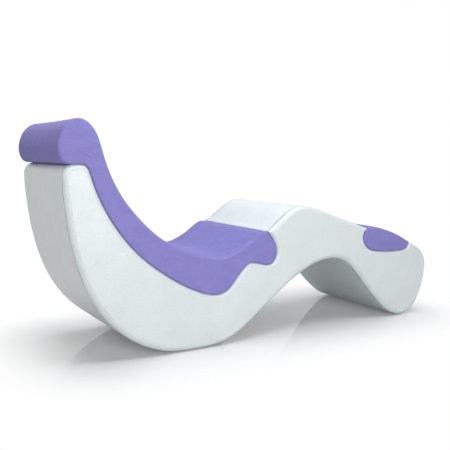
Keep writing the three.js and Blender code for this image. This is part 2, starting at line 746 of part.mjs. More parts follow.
const lounger = new THREE.Group();
lounger.add(shell, cushions, levellers);
lounger.updateMatrixWorld(true);
const box = new THREE.Box3().setFromObject(lounger);
const middle = box.getCenter(new THREE.Vector3());
lounger.position.set(-middle.x, -middle.y, -box.min.z);

export default lounger;
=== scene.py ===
import logging
import math
from abc import ABC, abstractmethod
from collections.abc import Iterator
from contextlib import contextmanager
from dataclasses import dataclass, field
from enum import Enum

import bpy
import numpy as np
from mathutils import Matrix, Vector


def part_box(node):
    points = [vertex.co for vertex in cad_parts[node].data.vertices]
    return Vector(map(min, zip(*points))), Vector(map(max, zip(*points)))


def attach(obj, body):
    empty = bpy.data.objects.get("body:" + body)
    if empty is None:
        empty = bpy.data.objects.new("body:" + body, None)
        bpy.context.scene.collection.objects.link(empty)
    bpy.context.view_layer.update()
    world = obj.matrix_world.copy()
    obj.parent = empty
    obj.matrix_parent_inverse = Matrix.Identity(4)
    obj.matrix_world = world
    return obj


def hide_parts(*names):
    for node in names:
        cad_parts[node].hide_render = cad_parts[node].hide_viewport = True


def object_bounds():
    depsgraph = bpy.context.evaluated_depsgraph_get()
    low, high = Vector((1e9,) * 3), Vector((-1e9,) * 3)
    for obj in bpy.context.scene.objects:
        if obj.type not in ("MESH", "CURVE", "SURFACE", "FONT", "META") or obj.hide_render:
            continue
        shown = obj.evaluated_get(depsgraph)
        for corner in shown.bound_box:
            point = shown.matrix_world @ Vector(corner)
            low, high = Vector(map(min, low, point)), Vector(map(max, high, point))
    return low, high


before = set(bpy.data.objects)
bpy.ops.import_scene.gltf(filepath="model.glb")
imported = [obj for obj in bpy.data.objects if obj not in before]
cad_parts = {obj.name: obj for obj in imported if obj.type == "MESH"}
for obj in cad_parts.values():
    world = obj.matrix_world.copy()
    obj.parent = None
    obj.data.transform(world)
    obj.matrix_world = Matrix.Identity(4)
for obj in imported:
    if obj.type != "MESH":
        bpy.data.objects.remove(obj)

LOG = logging.getLogger("lounger")

CAD_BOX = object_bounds()
SHELL_BODY = "shell"
WIDTH_AXIS = (0.0, 1.0, 0.0)

Pair = tuple[float, float]
Triple = tuple[float, float, float]
Socket = bpy.types.NodeSocket


class Slot(Enum):
    """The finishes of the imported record, by the names of its material slots."""

    WHITE = "white_leatherette"
    LILAC = "lilac_fabric"
    PLYWOOD = "plywood"
    BEECH = "beech"
    STEEL = "zinc_steel"
    RUBBER = "black_rubber"
    HOOK = "hook_strip"


class Side(Enum):
    """The two sides of the lounger, as the sign of their place across the width."""

    RIGHT = -1
    LEFT = 1


# Selecting and editing, as by hand


def select_only(*pieces: bpy.types.Object) -> None:
    """Deselects everything, then selects these pieces and makes the first one active.

    Args:
        pieces: the objects to select.
    """
    if bpy.context.object and bpy.context.object.mode != "OBJECT":
        bpy.ops.object.mode_set(mode="OBJECT")
    bpy.ops.object.select_all(action="DESELECT")
    for piece in pieces:
        piece.select_set(True)
    bpy.context.view_layer.objects.active = pieces[0]


@contextmanager
def editing(piece: bpy.types.Object) -> Iterator[None]:
    """Opens a piece in edit mode with all of its mesh selected, and leaves edit mode at the end.

    Args:
        piece: the mesh object to edit.
    """
    select_only(piece)
    bpy.ops.object.mode_set(mode="EDIT")
    bpy.ops.mesh.select_all(action="SELECT")
    yield
    bpy.ops.object.mode_set(mode="OBJECT")


def places_of(piece: bpy.types.Object) -> np.ndarray:
    """Reads a mesh's vertex places.

    Args:
        piece: the mesh object.

    Returns:
        An array with one row of x, y and z for each vertex.
    """
    places = np.empty(len(piece.data.vertices) * 3)
    piece.data.vertices.foreach_get("co", places)
    return places.reshape(-1, 3)


def move_vertices(piece: bpy.types.Object, places: np.ndarray) -> None:
    """Puts a mesh's vertices in new places.

    Args:
        piece: the mesh object.
        places: one row of x, y and z for each vertex.
    """
    piece.data.vertices.foreach_set("co", np.ascontiguousarray(places, dtype=np.float32).ravel())
    piece.data.update()


def apply_modifier(piece: bpy.types.Object, kind: str, **settings: object) -> None:
    """Adds a modifier to a piece and applies it.

    Args:
        piece: the mesh object.
        kind: the modifier's type.
        settings: values for the modifier's own settings.
    """
    select_only(piece)
    modifier = piece.modifiers.new(kind.lower(), kind)
    for name, value in settings.items():
        setattr(modifier, name, value)
    bpy.ops.object.modifier_apply(modifier=modifier.name)


def shade_smooth(piece: bpy.types.Object, degrees: float = 40) -> None:
    """Shades a piece smooth, apart from edges sharper than an angle.

    Args:
        piece: the mesh object.
        degrees: the angle past which an edge stays sharp.
    """
    select_only(piece)
    bpy.ops.object.shade_smooth_by_angle(angle=math.radians(degrees))


# Lines in the side view: rows of x and z

# A step in and a slightly longer step out, so that smoothing doesn't shrink a line
FAIR_SHARES = (0.5, -0.53)
# How many steps from a corner a line's heading is read
HEADING_STEPS = 3


def distances_along(line: np.ndarray) -> np.ndarray:
    """Measures how far along the line each of its points lies.

    Args:
        line: rows of x and z.

    Returns:
        One distance for each point, from zero.
    """
    steps = np.linalg.norm(np.diff(line, axis=0), axis=1)
    return np.concatenate([[0.0], np.cumsum(steps)])


def at_distances(line: np.ndarray, distances: np.ndarray) -> np.ndarray:
    """Finds the points at given distances along a line.

    Args:
        line: rows of x and z.
        distances: how far along the line each wanted point lies.

    Returns:
        Rows of x and z.
    """
    along = distances_along(line)
    return np.column_stack([np.interp(distances, along, line[:, k]) for k in range(line.shape[1])])


def evenly_spaced(line: np.ndarray, step: float) -> np.ndarray:
    """Spreads points evenly along a line and keeps its two ends.

    Args:
        line: rows of x and z.
        step: about how far apart the points lie.

    Returns:
        Rows of x and z.
    """
    length = distances_along(line)[-1]
    count = max(2, round(length / step) + 1)
    return at_distances(line, np.linspace(0, length, count))


def curved(line: np.ndarray, parts: int = 8) -> np.ndarray:
    """Draws a centripetal Catmull-Rom curve through a line's points.

    Args:
        line: rows of x and z.
        parts: how many steps each span is cut into.

    Returns:
        Rows of x and z on the curve.
    """
    if len(line) < 3:
        return line
    points = np.vstack([2 * line[0] - line[1], line, 2 * line[-1] - line[-2]])
    made = []
    for a, b, c, d in zip(points, points[1:], points[2:], points[3:]):
        knots = np.concatenate([[0.0], np.cumsum([np.linalg.norm(q - p) ** 0.5
                                                  for p, q in ((a, b), (b, c), (c, d))])])
        t = np.linspace(knots[1], knots[2], parts, endpoint=False)[:, None]

        def mix(p: np.ndarray, q: np.ndarray, low: float, high: float) -> np.ndarray:
            """Mixes two places by where t lies between two knots."""
            return ((high - t) * p + (t - low) * q) / (high - low)

        first, second, third = (mix(p, q, knots[i], knots[i + 1])
                                for i, (p, q) in enumerate(((a, b), (b, c), (c, d))))
        fore, aft = mix(first, second, knots[0], knots[2]), mix(second, third, knots[1], knots[3])
        made.append(mix(fore, aft, knots[1], knots[2]))
    return np.vstack([*made, line[-1:]])


def faired(line: np.ndarray, passes: int = 30) -> np.ndarray:
    """Takes small waves out of an evenly spaced line without shrinking it.

    Args:
        line: rows of x and z.
        passes: how many pairs of smoothing steps.

    Returns:
        The faired line, with the same ends.
    """
    fair = line.copy()
    for share in FAIR_SHARES * passes:
        fair[1:-1] += share * ((fair[:-2] + fair[2:]) / 2 - fair[1:-1])
    return fair


def turns_of(loop: np.ndarray) -> np.ndarray:
    """Measures how a closed loop turns at each point.

    Args:
        loop: rows of x and z.

    Returns:
        Angles in degrees, positive to the left.
    """
    ahead = np.roll(loop, -1, axis=0) - loop
    heading = np.degrees(np.arctan2(ahead[:, 1], ahead[:, 0]))
    return (heading - np.roll(heading, 1) + 180) % 360 - 180


def left_normals(loop: np.ndarray) -> np.ndarray:
    """Finds the direction to the left of a closed loop's run at each point.

    Args:
        loop: rows of x and z.

    Returns:
        Rows of unit directions.
    """
    ahead = np.roll(loop, -1, axis=0) - loop
    ahead /= np.linalg.norm(ahead, axis=1, keepdims=True)
    along = ahead + np.roll(ahead, 1, axis=0)
    along /= np.linalg.norm(along, axis=1, keepdims=True)
    return np.column_stack([-along[:, 1], along[:, 0]])


class NodeSection:
    """Cuts a copy of a CAD node across the width and gives its side-view outline."""

    sharp_turn = 35.0
    least_step = 0.004
    fine_step = 0.003
    merge_reach = 1e-5

    def __init__(self, node: str, across: float) -> None:
        """Cuts the node.

        Args:
            node: the CAD node's name.
            across: the cut's place across the width.
        """
        self.loop = self._thinned(self._cut(node, across))

    @staticmethod
    def _cut(node: str, across: float) -> np.ndarray:
        """Bisects a merged copy of the node and walks round what is left.

        Args:
            node: the CAD node's name.
            across: the cut's place across the width.

        Returns:
            Rows of x and z that run with the piece on their left.
        """
        piece = bpy.data.objects.new("section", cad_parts[node].data.copy())
        bpy.context.collection.objects.link(piece)
        with editing(piece):
            bpy.ops.mesh.remove_doubles(threshold=NodeSection.merge_reach)
            bpy.ops.mesh.select_all(action="SELECT")
            bpy.ops.mesh.bisect(plane_co=(0, across, 0), plane_no=WIDTH_AXIS,
                                clear_inner=True, clear_outer=True)
        beside: dict[int, list[int]] = {}
        for edge in piece.data.edges:
            for here, there in (edge.vertices, reversed(edge.vertices)):
                beside.setdefault(here, []).append(there)
        places = places_of(piece)[:, [0, 2]]
        bpy.data.objects.remove(piece)
        walk = [0, beside[0][0]]
        while (ahead := next(n for n in beside[walk[-1]] if n != walk[-2])) != walk[0]:
            walk.append(ahead)
        loop = places[walk]
        after = np.roll(loop, -1, axis=0)
        area = np.sum(loop[:, 0] * after[:, 1] - after[:, 0] * loop[:, 1])
        return loop if area > 0 else loop[::-1]

    def _thinned(self, loop: np.ndarray) -> np.ndarray:
        """Leaves out the points that lie close to a neighbour and turn least.

        Args:
            loop: rows of x and z.

        Returns:
            The loop with fewer points.
        """
        while True:
            gap = np.linalg.norm(np.roll(loop, -1, axis=0) - loop, axis=1)
            close = np.minimum(gap, np.roll(gap, 1)) < self.least_step
            if not close.any():
                return loop
            turn = np.where(close, np.abs(turns_of(loop)), np.inf)
            loop = np.delete(loop, int(np.argmin(turn)), axis=0)

    def lines(self) -> list[np.ndarray]:
        """Splits the outline at its sharp corners into fair lines.

        Returns:
            Lines in order, the first from the corner that lies furthest along X.
        """
        corners = np.flatnonzero(np.abs(turns_of(self.loop)) > self.sharp_turn)
        first = corners[int(np.argmax(self.loop[corners, 0]))]
        turned = np.roll(self.loop, -first, axis=0)
        marks = [*sorted((corners - first) % len(turned)), len(turned)]
        closed = np.vstack([turned, turned[:1]])
        return [faired(evenly_spaced(curved(closed[a:b + 1]), self.fine_step))
                for a, b in zip(marks, marks[1:])]


@dataclass
class Outline:
    """A closed side-view outline with rounded corners, run so that the piece lies on its left."""

    points: np.ndarray
    part: np.ndarray
    away: np.ndarray

    @classmethod
    def rounded(cls, lines: list[np.ndarray], radius: float, arc_steps: int = 8) -> "Outline":
        """Joins lines that meet in sharp corners by small arcs.

        Args:
            lines: lines in order, each ending where the next one starts.
            radius: the radius of the arcs.
            arc_steps: how many steps an arc has.

        Returns:
            The outline. Its part array says which line a point belongs to, and its away array how
            far along the outline the nearest arc is.
        """
        cuts, arcs = [], []
        for before, after in zip(lines, [*lines[1:], lines[0]]):
            back = before[-1 - HEADING_STEPS] - before[-1]
            ahead = after[HEADING_STEPS] - after[0]
            cosine = back @ ahead / np.linalg.norm(back) / np.linalg.norm(ahead)
            half = math.acos(max(-1.0, min(1.0, cosine))) / 2
            cuts.append(radius / math.tan(half))
            from_point = at_distances(before[::-1], np.array([cuts[-1]]))[0]
            to_point = at_distances(after, np.array([cuts[-1]]))[0]
            heading = -back / np.linalg.norm(back)
            centre = from_point + radius * np.array([-heading[1], heading[0]])
            angles = np.linspace(0, math.pi - 2 * half, arc_steps + 1)
            spoke = from_point - centre
            arc = centre + np.column_stack([spoke[0] * np.cos(angles) - spoke[1] * np.sin(angles),
                                            spoke[0] * np.sin(angles) + spoke[1] * np.cos(angles)])
            arcs.append(arc + np.linspace(0, 1, arc_steps + 1)[:, None] * (to_point - arc[-1]))
        points, part, away = [], [], []
        for number, line in enumerate(lines):
            length = distances_along(line)[-1]
            start, end = cuts[number - 1], length - cuts[number]
            count = max(2, round((end - start) / NodeSection.fine_step) + 1)
            places = np.linspace(start, end, count)[1:-1]
            middle = at_distances(line, places)
            points += [middle, arcs[number]]
            part += [np.full(len(middle), number), np.full(len(arcs[number]), number)]
            away += [np.minimum(places - start, end - places), np.zeros(len(arcs[number]))]
        return cls(np.vstack(points), np.concatenate(part), np.concatenate(away))

    def inset(self, depth: np.ndarray | float) -> np.ndarray:
        """Moves the outline inwards.

        Args:
            depth: how far, as one value or one for each point.

        Returns:
            Rows of x and z.
        """
        return self.points + left_normals(self.points) * np.broadcast_to(depth, len(self.points))[:, None]

    def softened(self, values: np.ndarray, passes: int = 12) -> np.ndarray:
        """Evens out values along the outline.

        Args:
            values: one value for each point.
            passes: how many smoothing steps.

        Returns:
            The evened values.
        """
        for _ in range(passes):
            values = (np.roll(values, 1) + 2 * values + np.roll(values, -1)) / 4
        return values


@dataclass
class Ring:
    """One ring of a loft: an outline's points and how far across the width they lie."""

    points: np.ndarray
    across: np.ndarray | float

    def places(self) -> np.ndarray:
        """Gives rows of x, y and z."""
        across = np.broadcast_to(self.across, len(self.points))
        return np.column_stack([self.points[:, 0], across, self.points[:, 1]])

    def mirrored(self) -> "Ring":
        """Gives the same ring on the other side."""
        return Ring(self.points, -self.across)


class Loft:
    """A closed body through rings of equally many points, made from a circle and its extrusions."""

    def __init__(self, name: str, rings: list[Ring]) -> None:
        """Builds the body.

        Args:
            name: the new piece's name.
            rings: the rings in order across the width.
        """
        count = len(rings[0].points)
        bpy.ops.object.select_all(action="DESELECT")
        bpy.ops.mesh.primitive_circle_add(vertices=count, radius=1, fill_type="NGON")
        self.piece = bpy.context.object
        self.piece.name = name
        with editing(self.piece):
            for _ in rings[1:]:
                bpy.ops.mesh.extrude_region_move(TRANSFORM_OT_translate={"value": (0, 0, 1)})
        start = places_of(self.piece)
        level = np.rint(start[:, 2]).astype(int)
        angle = np.arctan2(start[:, 1], start[:, 0])
        number = np.rint(angle / (2 * math.pi) * count).astype(int) % count
        move_vertices(self.piece, np.stack([ring.places() for ring in rings])[level, number])
        with editing(self.piece):
            bpy.ops.mesh.normals_make_consistent(inside=False)


# Materials


def scaled(colour: Triple, share: float) -> Triple:
    """Makes a colour darker or lighter."""
    return tuple(share * value for value in colour)


class NodeTree:
    """A node tree, with short calls to add and link its nodes."""

    def __init__(self, owner: bpy.types.Material | bpy.types.World) -> None:
        """Opens the node tree of a material or of the world.

        Args:
            owner: the material or the world.
        """
        owner.use_nodes = True
        self.tree = owner.node_tree

    def add(self, kind: str, **settings: object) -> bpy.types.Node:
        """Adds a node.

        Args:
            kind: the node's type.
            settings: values for the node's own settings.

        Returns:
            The node.
        """
        node = self.tree.nodes.new(kind)
        for name, value in settings.items():
            setattr(node, name, value)
        return node

    def link(self, source: Socket, target: Socket) -> None:
        """Links two sockets."""
        self.tree.links.new(source, target)

    def calculate(self, operation: str, first: Socket, second: Socket | float = 0.0) -> Socket:
        """Adds a sum on one or two values.

        Args:
            operation: the kind of sum.
            first: the first value.
            second: the second value, as a socket or a number.

        Returns:
            The result.
        """
        node = self.add("ShaderNodeMath", operation=operation)
        self.link(first, node.inputs[0])
        if isinstance(second, Socket):
            self.link(second, node.inputs[1])
        else:
            node.inputs[1].default_value = second
        return node.outputs[0]

    def spread(self, value: Socket, to_low: float, to_high: float, low: float = 0.3,
               high: float = 0.7) -> Socket:
        """Maps a range of values to another one.

        Args:
            value: the values.
            to_low: what the lowest becomes.
            to_high: what the highest becomes.
            low: the lowest value read, by default of a noise pattern.
            high: the highest value read.

        Returns:
            The mapped values.
        """
        node = self.add("ShaderNodeMapRange")
        for name, number in zip(("From Min", "From Max", "To Min", "To Max"), (low, high, to_low, to_high)):
            node.inputs[name].default_value = number
        self.link(value, node.inputs["Value"])
        return node.outputs["Result"]

    def seen(self) -> Socket:
        """Marks the rays that show a surface to the eye, in a mirror or through glass.

        Returns:
            1 for such a ray and 0 for others.
        """
        path = self.add("ShaderNodeLightPath")
        shown = path.outputs["Is Camera Ray"]
        for kind in ("Is Glossy Ray", "Is Transmission Ray"):
            shown = self.calculate("MAXIMUM", shown, path.outputs[kind])
        return shown


class Shader(NodeTree):
    """A material and its node tree, with patterns for its principled shader."""

    def __init__(self, name: str) -> None:
        """Makes a material with one principled shader.

        Args:
            name: the material's name.
        """
        self.material = bpy.data.materials.new(name)
        super().__init__(self.material)
        self.surface = self.tree.nodes["Principled BSDF"]
        self.place = self.add("ShaderNodeTexCoord").outputs["Object"]

    def set(self, **values: object) -> None:
        """Sets the principled shader's own sockets.

        Args:
            values: a value for each socket, named with underscores for spaces.
        """
        for name, value in values.items():
            self.surface.inputs[name.replace("_", " ")].default_value = value

    def colour_with(self, source: Socket) -> None:
        """Links a pattern to the surface's colour."""
        self.link(source, self.surface.inputs["Base Color"])

    def roughen(self, pattern: Socket, low: float, high: float) -> None:
        """Spreads a pattern over the surface's roughness."""
        self.link(self.spread(pattern, low, high), self.surface.inputs["Roughness"])

    def noise(self, size: float, detail: float = 2.0, stretch: Triple = (1, 1, 1),
              warp: float = 0.0) -> Socket:
        """Adds a noise pattern on the object's own coordinates.

        Args:
            size: the size of its spots in metres.
            detail: how many finer layers it has.
            stretch: how much longer the spots are along each axis.
            warp: how much the pattern is bent.

        Returns:
            The pattern's value.
        """
        place = self.add("ShaderNodeMapping")
        place.inputs["Scale"].default_value = tuple(1 / (size * share) for share in stretch)
        self.link(self.place, place.inputs["Vector"])
        node = self.add("ShaderNodeTexNoise")
        node.inputs["Scale"].default_value = 1
        node.inputs["Detail"].default_value = detail
        node.inputs["Distortion"].default_value = warp
        self.link(place.outputs["Vector"], node.inputs["Vector"])
        return node.outputs["Fac"]

    def cells(self, size: float, feature: str = "SMOOTH_F1") -> Socket:
        """Adds a pattern of round cells on the object's own coordinates.

        Args:
            size: the cells' size in metres.
            feature: what is measured in each cell.

        Returns:
            The distance in each cell.
        """
        node = self.add("ShaderNodeTexVoronoi", feature=feature)
        node.inputs["Scale"].default_value = 1 / size
        self.link(self.place, node.inputs["Vector"])
        return node.outputs["Distance"]

    def tint(self, share: Socket, low: Triple, high: Triple, marks: Pair = (0.0, 1.0)) -> Socket:
        """Turns a value into a colour.

        Args:
            share: the value.
            low: the colour for low values.
            high: the colour for high values.
            marks: the values at which the two colours are reached.

        Returns:
            The colour.
        """
        node = self.add("ShaderNodeValToRGB")
        for element, mark, colour in zip(node.color_ramp.elements, marks, (low, high)):
            element.position = mark
            element.color = (*colour, 1)
        self.link(share, node.inputs["Fac"])
        return node.outputs["Color"]

    def over(self, below: Socket, above: Triple, share: Socket) -> Socket:
        """Lays one colour over a pattern.

        Args:
            below: the pattern's colour.
            above: the colour on top.
            share: how much of the top colour shows.

        Returns:
            The mixed colour.
        """
        node = self.add("ShaderNodeMix", data_type="RGBA")
        self.link(share, node.inputs["Factor"])
        self.link(below, node.inputs["A"])
        node.inputs["B"].default_value = (*above, 1)
        return node.outputs["Result"]

    def bumps(self, *layers: tuple[Socket, float]) -> None:
        """Chains bump layers into the surface's normal.

        Args:
            layers: for each, its height pattern and its depth in metres.
        """
        normal = None
        for height, depth in layers:
            node = self.add("ShaderNodeBump")
            node.inputs["Strength"].default_value = 1
            node.inputs["Distance"].default_value = depth
            self.link(height, node.inputs["Height"])
            if normal is not None:
                self.link(normal, node.inputs["Normal"])
            normal = node.outputs["Normal"]
        self.link(normal, self.surface.inputs["Normal"])


class Finish(ABC):
    """A finish, which paints its pattern with a shader."""

    @abstractmethod
    def paint(self, shader: Shader) -> None:
        """Paints the pattern.

        Args:
            shader: the material's shader.
        """

    def build(self, slot: Slot) -> bpy.types.Material:
        """Makes the finish's material.

        Args:
            slot: the slot that it is for.

        Returns:
            The material.
        """
        shader = Shader(slot.value)
        self.paint(shader)
        return shader.material


@dataclass(frozen=True)
class Leatherette(Finish):
    """White upholstery leatherette with a pebble grain painted darker in its hollows as painted shade, a
    satin coat, sparse painted glints and painted shade in the seam channels.
    """

    light: Triple = (0.79, 0.85, 0.85)
    shade: Triple = (0.715, 0.78, 0.785)
    # The colour of the painted glints, lighter spots that stand in for glints on the grain
    painted_glint: Triple = (0.95, 0.97, 0.97)
    roughness: Pair = (0.33, 0.51)
    coat: float = 0.35
    coat_roughness: float = 0.28
    grain: float = 0.0048
    # How much of the colour change is painted shade in the pebbles' hollows, and over which part of each
    # pebble it runs; the rest is the hide's own cloudy tone
    hollow_shade_share: float = 0.5
    hollow_shade_reach: Pair = (0.15, 0.75)
    grain_depth: float = 0.0012
    pebble_top: float = 0.8
    fine_grain: float = 0.0016
    fine_depth: float = 0.0004
    # How far apart the painted glints lie, and how far each one reaches in its cell
    glint_gap: float = 0.034
    glint_reach: Pair = (0.045, 0.075)
    softness: float = 0.09
    softness_depth: float = 0.003
    # Where the painted shade in the seam channels lies across the width, how far it reaches, and its colour
    seam_place: float = 0.2777
    seam_reach: float = 0.0034
    seam_core: float = 0.6
    painted_seam_shade: Triple = (0.2, 0.215, 0.22)

    def paint(self, shader: Shader) -> None:
        """Paints the pattern.

        Args:
            shader: the material's shader.
        """
        pebbles = shader.cells(self.grain)
        fine = shader.noise(self.fine_grain, detail=3)
        cloudy = shader.noise(self.softness, detail=2)
        # The pebbles are painted darker in their hollows, a painted shade, and the cloudy noise adds the
        # hide's own uneven tone
        hollow_shade_and_mottle = shader.calculate("ADD", shader.spread(pebbles, self.hollow_shade_share, 0, *self.hollow_shade_reach),
                                   shader.spread(cloudy, 0, 1 - self.hollow_shade_share))
        hide = shader.tint(hollow_shade_and_mottle, self.shade, self.light)
        # Painted glints: sparse lighter spots laid over the hide
        painted_glints = shader.spread(shader.cells(self.glint_gap, "F1"), 1, 0, *self.glint_reach)
        shader.colour_with(self._with_painted_seam_shade(shader, shader.over(hide, self.painted_glint, painted_glints)))
        shader.roughen(fine, *self.roughness)
        shader.set(Specular_IOR_Level=0.5, Coat_Weight=self.coat, Coat_Roughness=self.coat_roughness)
        hollow = shader.spread(pebbles, 1, 0, 0, self.pebble_top)
        shader.bumps((shader.noise(self.softness, detail=1), self.softness_depth),
                     (hollow, self.grain_depth), (fine, self.fine_depth))

    def _with_painted_seam_shade(self, shader: Shader, hide: Socket) -> Socket:
        """Paints shade into the hide along the channels between the side panels and the bands, where the
        shadow in the channels falls.

        Args:
            shader: the material's shader.
            hide: the hide's colour.

        Returns:
            The colour with the painted shade in the channels.
        """
        split = shader.add("ShaderNodeSeparateXYZ")
        shader.link(shader.place, split.inputs[0])
        across = shader.calculate("ABSOLUTE", split.outputs["Y"])
        off = shader.calculate("ABSOLUTE", shader.calculate("SUBTRACT", across, self.seam_place))
        # Painted shade, darkest in the middle of each seam channel
        painted_shade_share = shader.spread(off, 1, 0, self.seam_core * self.seam_reach, self.seam_reach)
        return shader.over(hide, self.painted_seam_shade, painted_shade_share)


@dataclass(frozen=True)
class Microfibre(Finish):
    """Lilac brushed microfibre with a cloudy nap and shallow pull creases."""

    light: Triple = (0.292, 0.266, 0.632)
    shade: Triple = (0.238, 0.217, 0.54)
    roughness: float = 0.84
    nap: float = 0.045
    nap_warp: float = 0.8
    nap_share: float = 0.5
    brush: float = 0.012
    brush_stretch: Triple = (3.2, 1.6, 0.7)
    brush_share: float = 0.3
    brush_depth: float = 0.0005
    weave: float = 0.0012
    weave_stretch: Triple = (1.6, 1, 1)
    weave_share: float = 0.2
    weave_depth: float = 0.0003
    crease: float = 0.045
    crease_stretch: Triple = (3.0, 1, 0.8)
    crease_depth: float = 0.0022
    warp: float = 0.5
    sheen: float = 0.12
    sheen_roughness: float = 0.4
    sheen_tint: Triple = (0.75, 0.7, 1.0)

    def paint(self, shader: Shader) -> None:
        """Paints the pattern.

        Args:
            shader: the material's shader.
        """
        nap = shader.noise(self.nap, detail=5, warp=self.nap_warp)
        brushed = shader.noise(self.brush, detail=3, stretch=self.brush_stretch, warp=self.warp)
        fibre = shader.noise(self.weave, detail=2, stretch=self.weave_stretch)
        mixed = shader.calculate("ADD", shader.spread(nap, 0, self.nap_share),
                                 shader.spread(brushed, 0, self.brush_share))
        speckled = shader.calculate("ADD", mixed, shader.spread(fibre, 0, self.weave_share))
        shader.colour_with(shader.tint(speckled, self.shade, self.light))
        shader.set(Roughness=self.roughness, Specular_IOR_Level=0.25, Sheen_Weight=self.sheen,
                   Sheen_Roughness=self.sheen_roughness, Sheen_Tint=(*self.sheen_tint, 1))
        creases = shader.noise(self.crease, detail=2, stretch=self.crease_stretch, warp=self.warp)
        shader.bumps((creases, self.crease_depth), (brushed, self.brush_depth), (fibre, self.weave_depth))


@dataclass(frozen=True)
class Timber(Finish):
    """Plywood or beech, with grain along one axis."""

    light: Triple
    dark: Triple
    grain: float = 0.006
    grain_depth: float = 0.00025
    pore: float = 0.0009
    pore_depth: float = 0.0001
    run: Triple = (1, 14, 1)
    warp: float = 1.2
    marks: Pair = (0.35, 0.65)
    roughness: Pair = (0.6, 0.48)

    def paint(self, shader: Shader) -> None:
        """Paints the pattern.

        Args:
            shader: the material's shader.
        """
        grain = shader.noise(self.grain, detail=5, stretch=self.run, warp=self.warp)
        pores = shader.noise(self.pore, detail=1, stretch=self.run)
        shader.colour_with(shader.tint(grain, self.dark, self.light, self.marks))
        shader.roughen(grain, *self.roughness)
        shader.bumps((grain, self.grain_depth), (pores, self.pore_depth))


@dataclass(frozen=True)
class ZincSteel(Finish):
    """Zinc-plated steel with a faint brushed haze."""

    colour: Triple = (0.62, 0.64, 0.66)
    dull: float = 0.86
    haze: float = 0.004
    scratch: float = 0.0006
    scratch_stretch: Triple = (1, 1, 12)
    scratch_depth: float = 0.00003
    roughness: Pair = (0.28, 0.42)

    def paint(self, shader: Shader) -> None:
        """Paints the pattern.

        Args:
            shader: the material's shader.
        """
        haze = shader.noise(self.haze, detail=4)
        brushed = shader.noise(self.scratch, detail=1, stretch=self.scratch_stretch)
        shader.colour_with(shader.tint(haze, scaled(self.colour, self.dull), self.colour))
        shader.roughen(haze, *self.roughness)
        shader.set(Metallic=1.0)
        shader.bumps((brushed, self.scratch_depth))


@dataclass(frozen=True)
class Rubber(Finish):
    """Matt black rubber with a fine moulded texture."""

    colour: Triple = (0.022, 0.022, 0.024)
    dusty: float = 1.7
    dust: float = 0.009
    marks: Pair = (0.4, 0.8)
    grit: float = 0.0006
    grit_depth: float = 0.00012
    roughness: Pair = (0.62, 0.8)

    def paint(self, shader: Shader) -> None:
        """Paints the pattern.

        Args:
            shader: the material's shader.
        """
        dust = shader.noise(self.dust, detail=4)
        grit = shader.noise(self.grit, detail=2)
        shader.colour_with(shader.tint(dust, self.colour, scaled(self.colour, self.dusty), self.marks))
        shader.roughen(dust, *self.roughness)
        shader.bumps((grit, self.grit_depth))


@dataclass(frozen=True)
class HookTape(Finish):
    """Woven tape of tiny hooks and loops."""

    colour: Triple = (0.07, 0.064, 0.15)
    pitch: float = 0.0022
    tips: float = 1.8
    marks: Pair = (0.1, 0.6)
    hook_depth: float = 0.0007
    fuzz: float = 0.0008
    fuzz_depth: float = 0.0003
    roughness: float = 0.9

    def paint(self, shader: Shader) -> None:
        """Paints the pattern.

        Args:
            shader: the material's shader.
        """
        hooks = shader.cells(self.pitch, "F1")
        fuzz = shader.noise(self.fuzz, detail=3)
        shader.colour_with(shader.tint(hooks, scaled(self.colour, self.tips), self.colour, self.marks))
        shader.set(Roughness=self.roughness)
        shader.bumps((shader.spread(hooks, 1, 0, 0, self.marks[1]), self.hook_depth), (fuzz, self.fuzz_depth))


class Finishes:
    """All finishes of the lounger, one material for each slot."""

    def __init__(self) -> None:
        """Builds the materials."""
        finishes: dict[Slot, Finish] = {
            Slot.WHITE: Leatherette(),
            Slot.LILAC: Microfibre(),
            Slot.PLYWOOD: Timber((0.66, 0.48, 0.29), (0.5, 0.33, 0.18)),
            Slot.BEECH: Timber((0.52, 0.31, 0.17), (0.4, 0.22, 0.11), grain=0.004),
            Slot.STEEL: ZincSteel(),
            Slot.RUBBER: Rubber(),
            Slot.HOOK: HookTape(),
        }
        self.materials = {slot: finish.build(slot) for slot, finish in finishes.items()}

    def dress(self, piece: bpy.types.Object, slot: Slot) -> None:
        """Gives a piece one finish all over.

        Args:
            piece: the mesh object.
            slot: the finish.
        """
        if not piece.material_slots:
            piece.data.materials.append(self.materials[slot])
        for own in piece.material_slots:
            own.material = self.materials[slot]

    def finish_piece(self, piece: bpy.types.Object, slot: Slot, body: str, *nodes: str) -> None:
        """Dresses a new piece, ties it to its body and hides the CAD nodes that it stands for.

        Args:
            piece: the mesh object.
            slot: the finish.
            body: the CAD body that it rides on.
            nodes: the CAD nodes that it replaces.
        """
        self.dress(piece, slot)
        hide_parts(*nodes)
        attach(piece, body)
        LOG.info("%s: %d vertices, for %s", piece.name, len(piece.data.vertices), ", ".join(nodes))


# Sub-assemblies


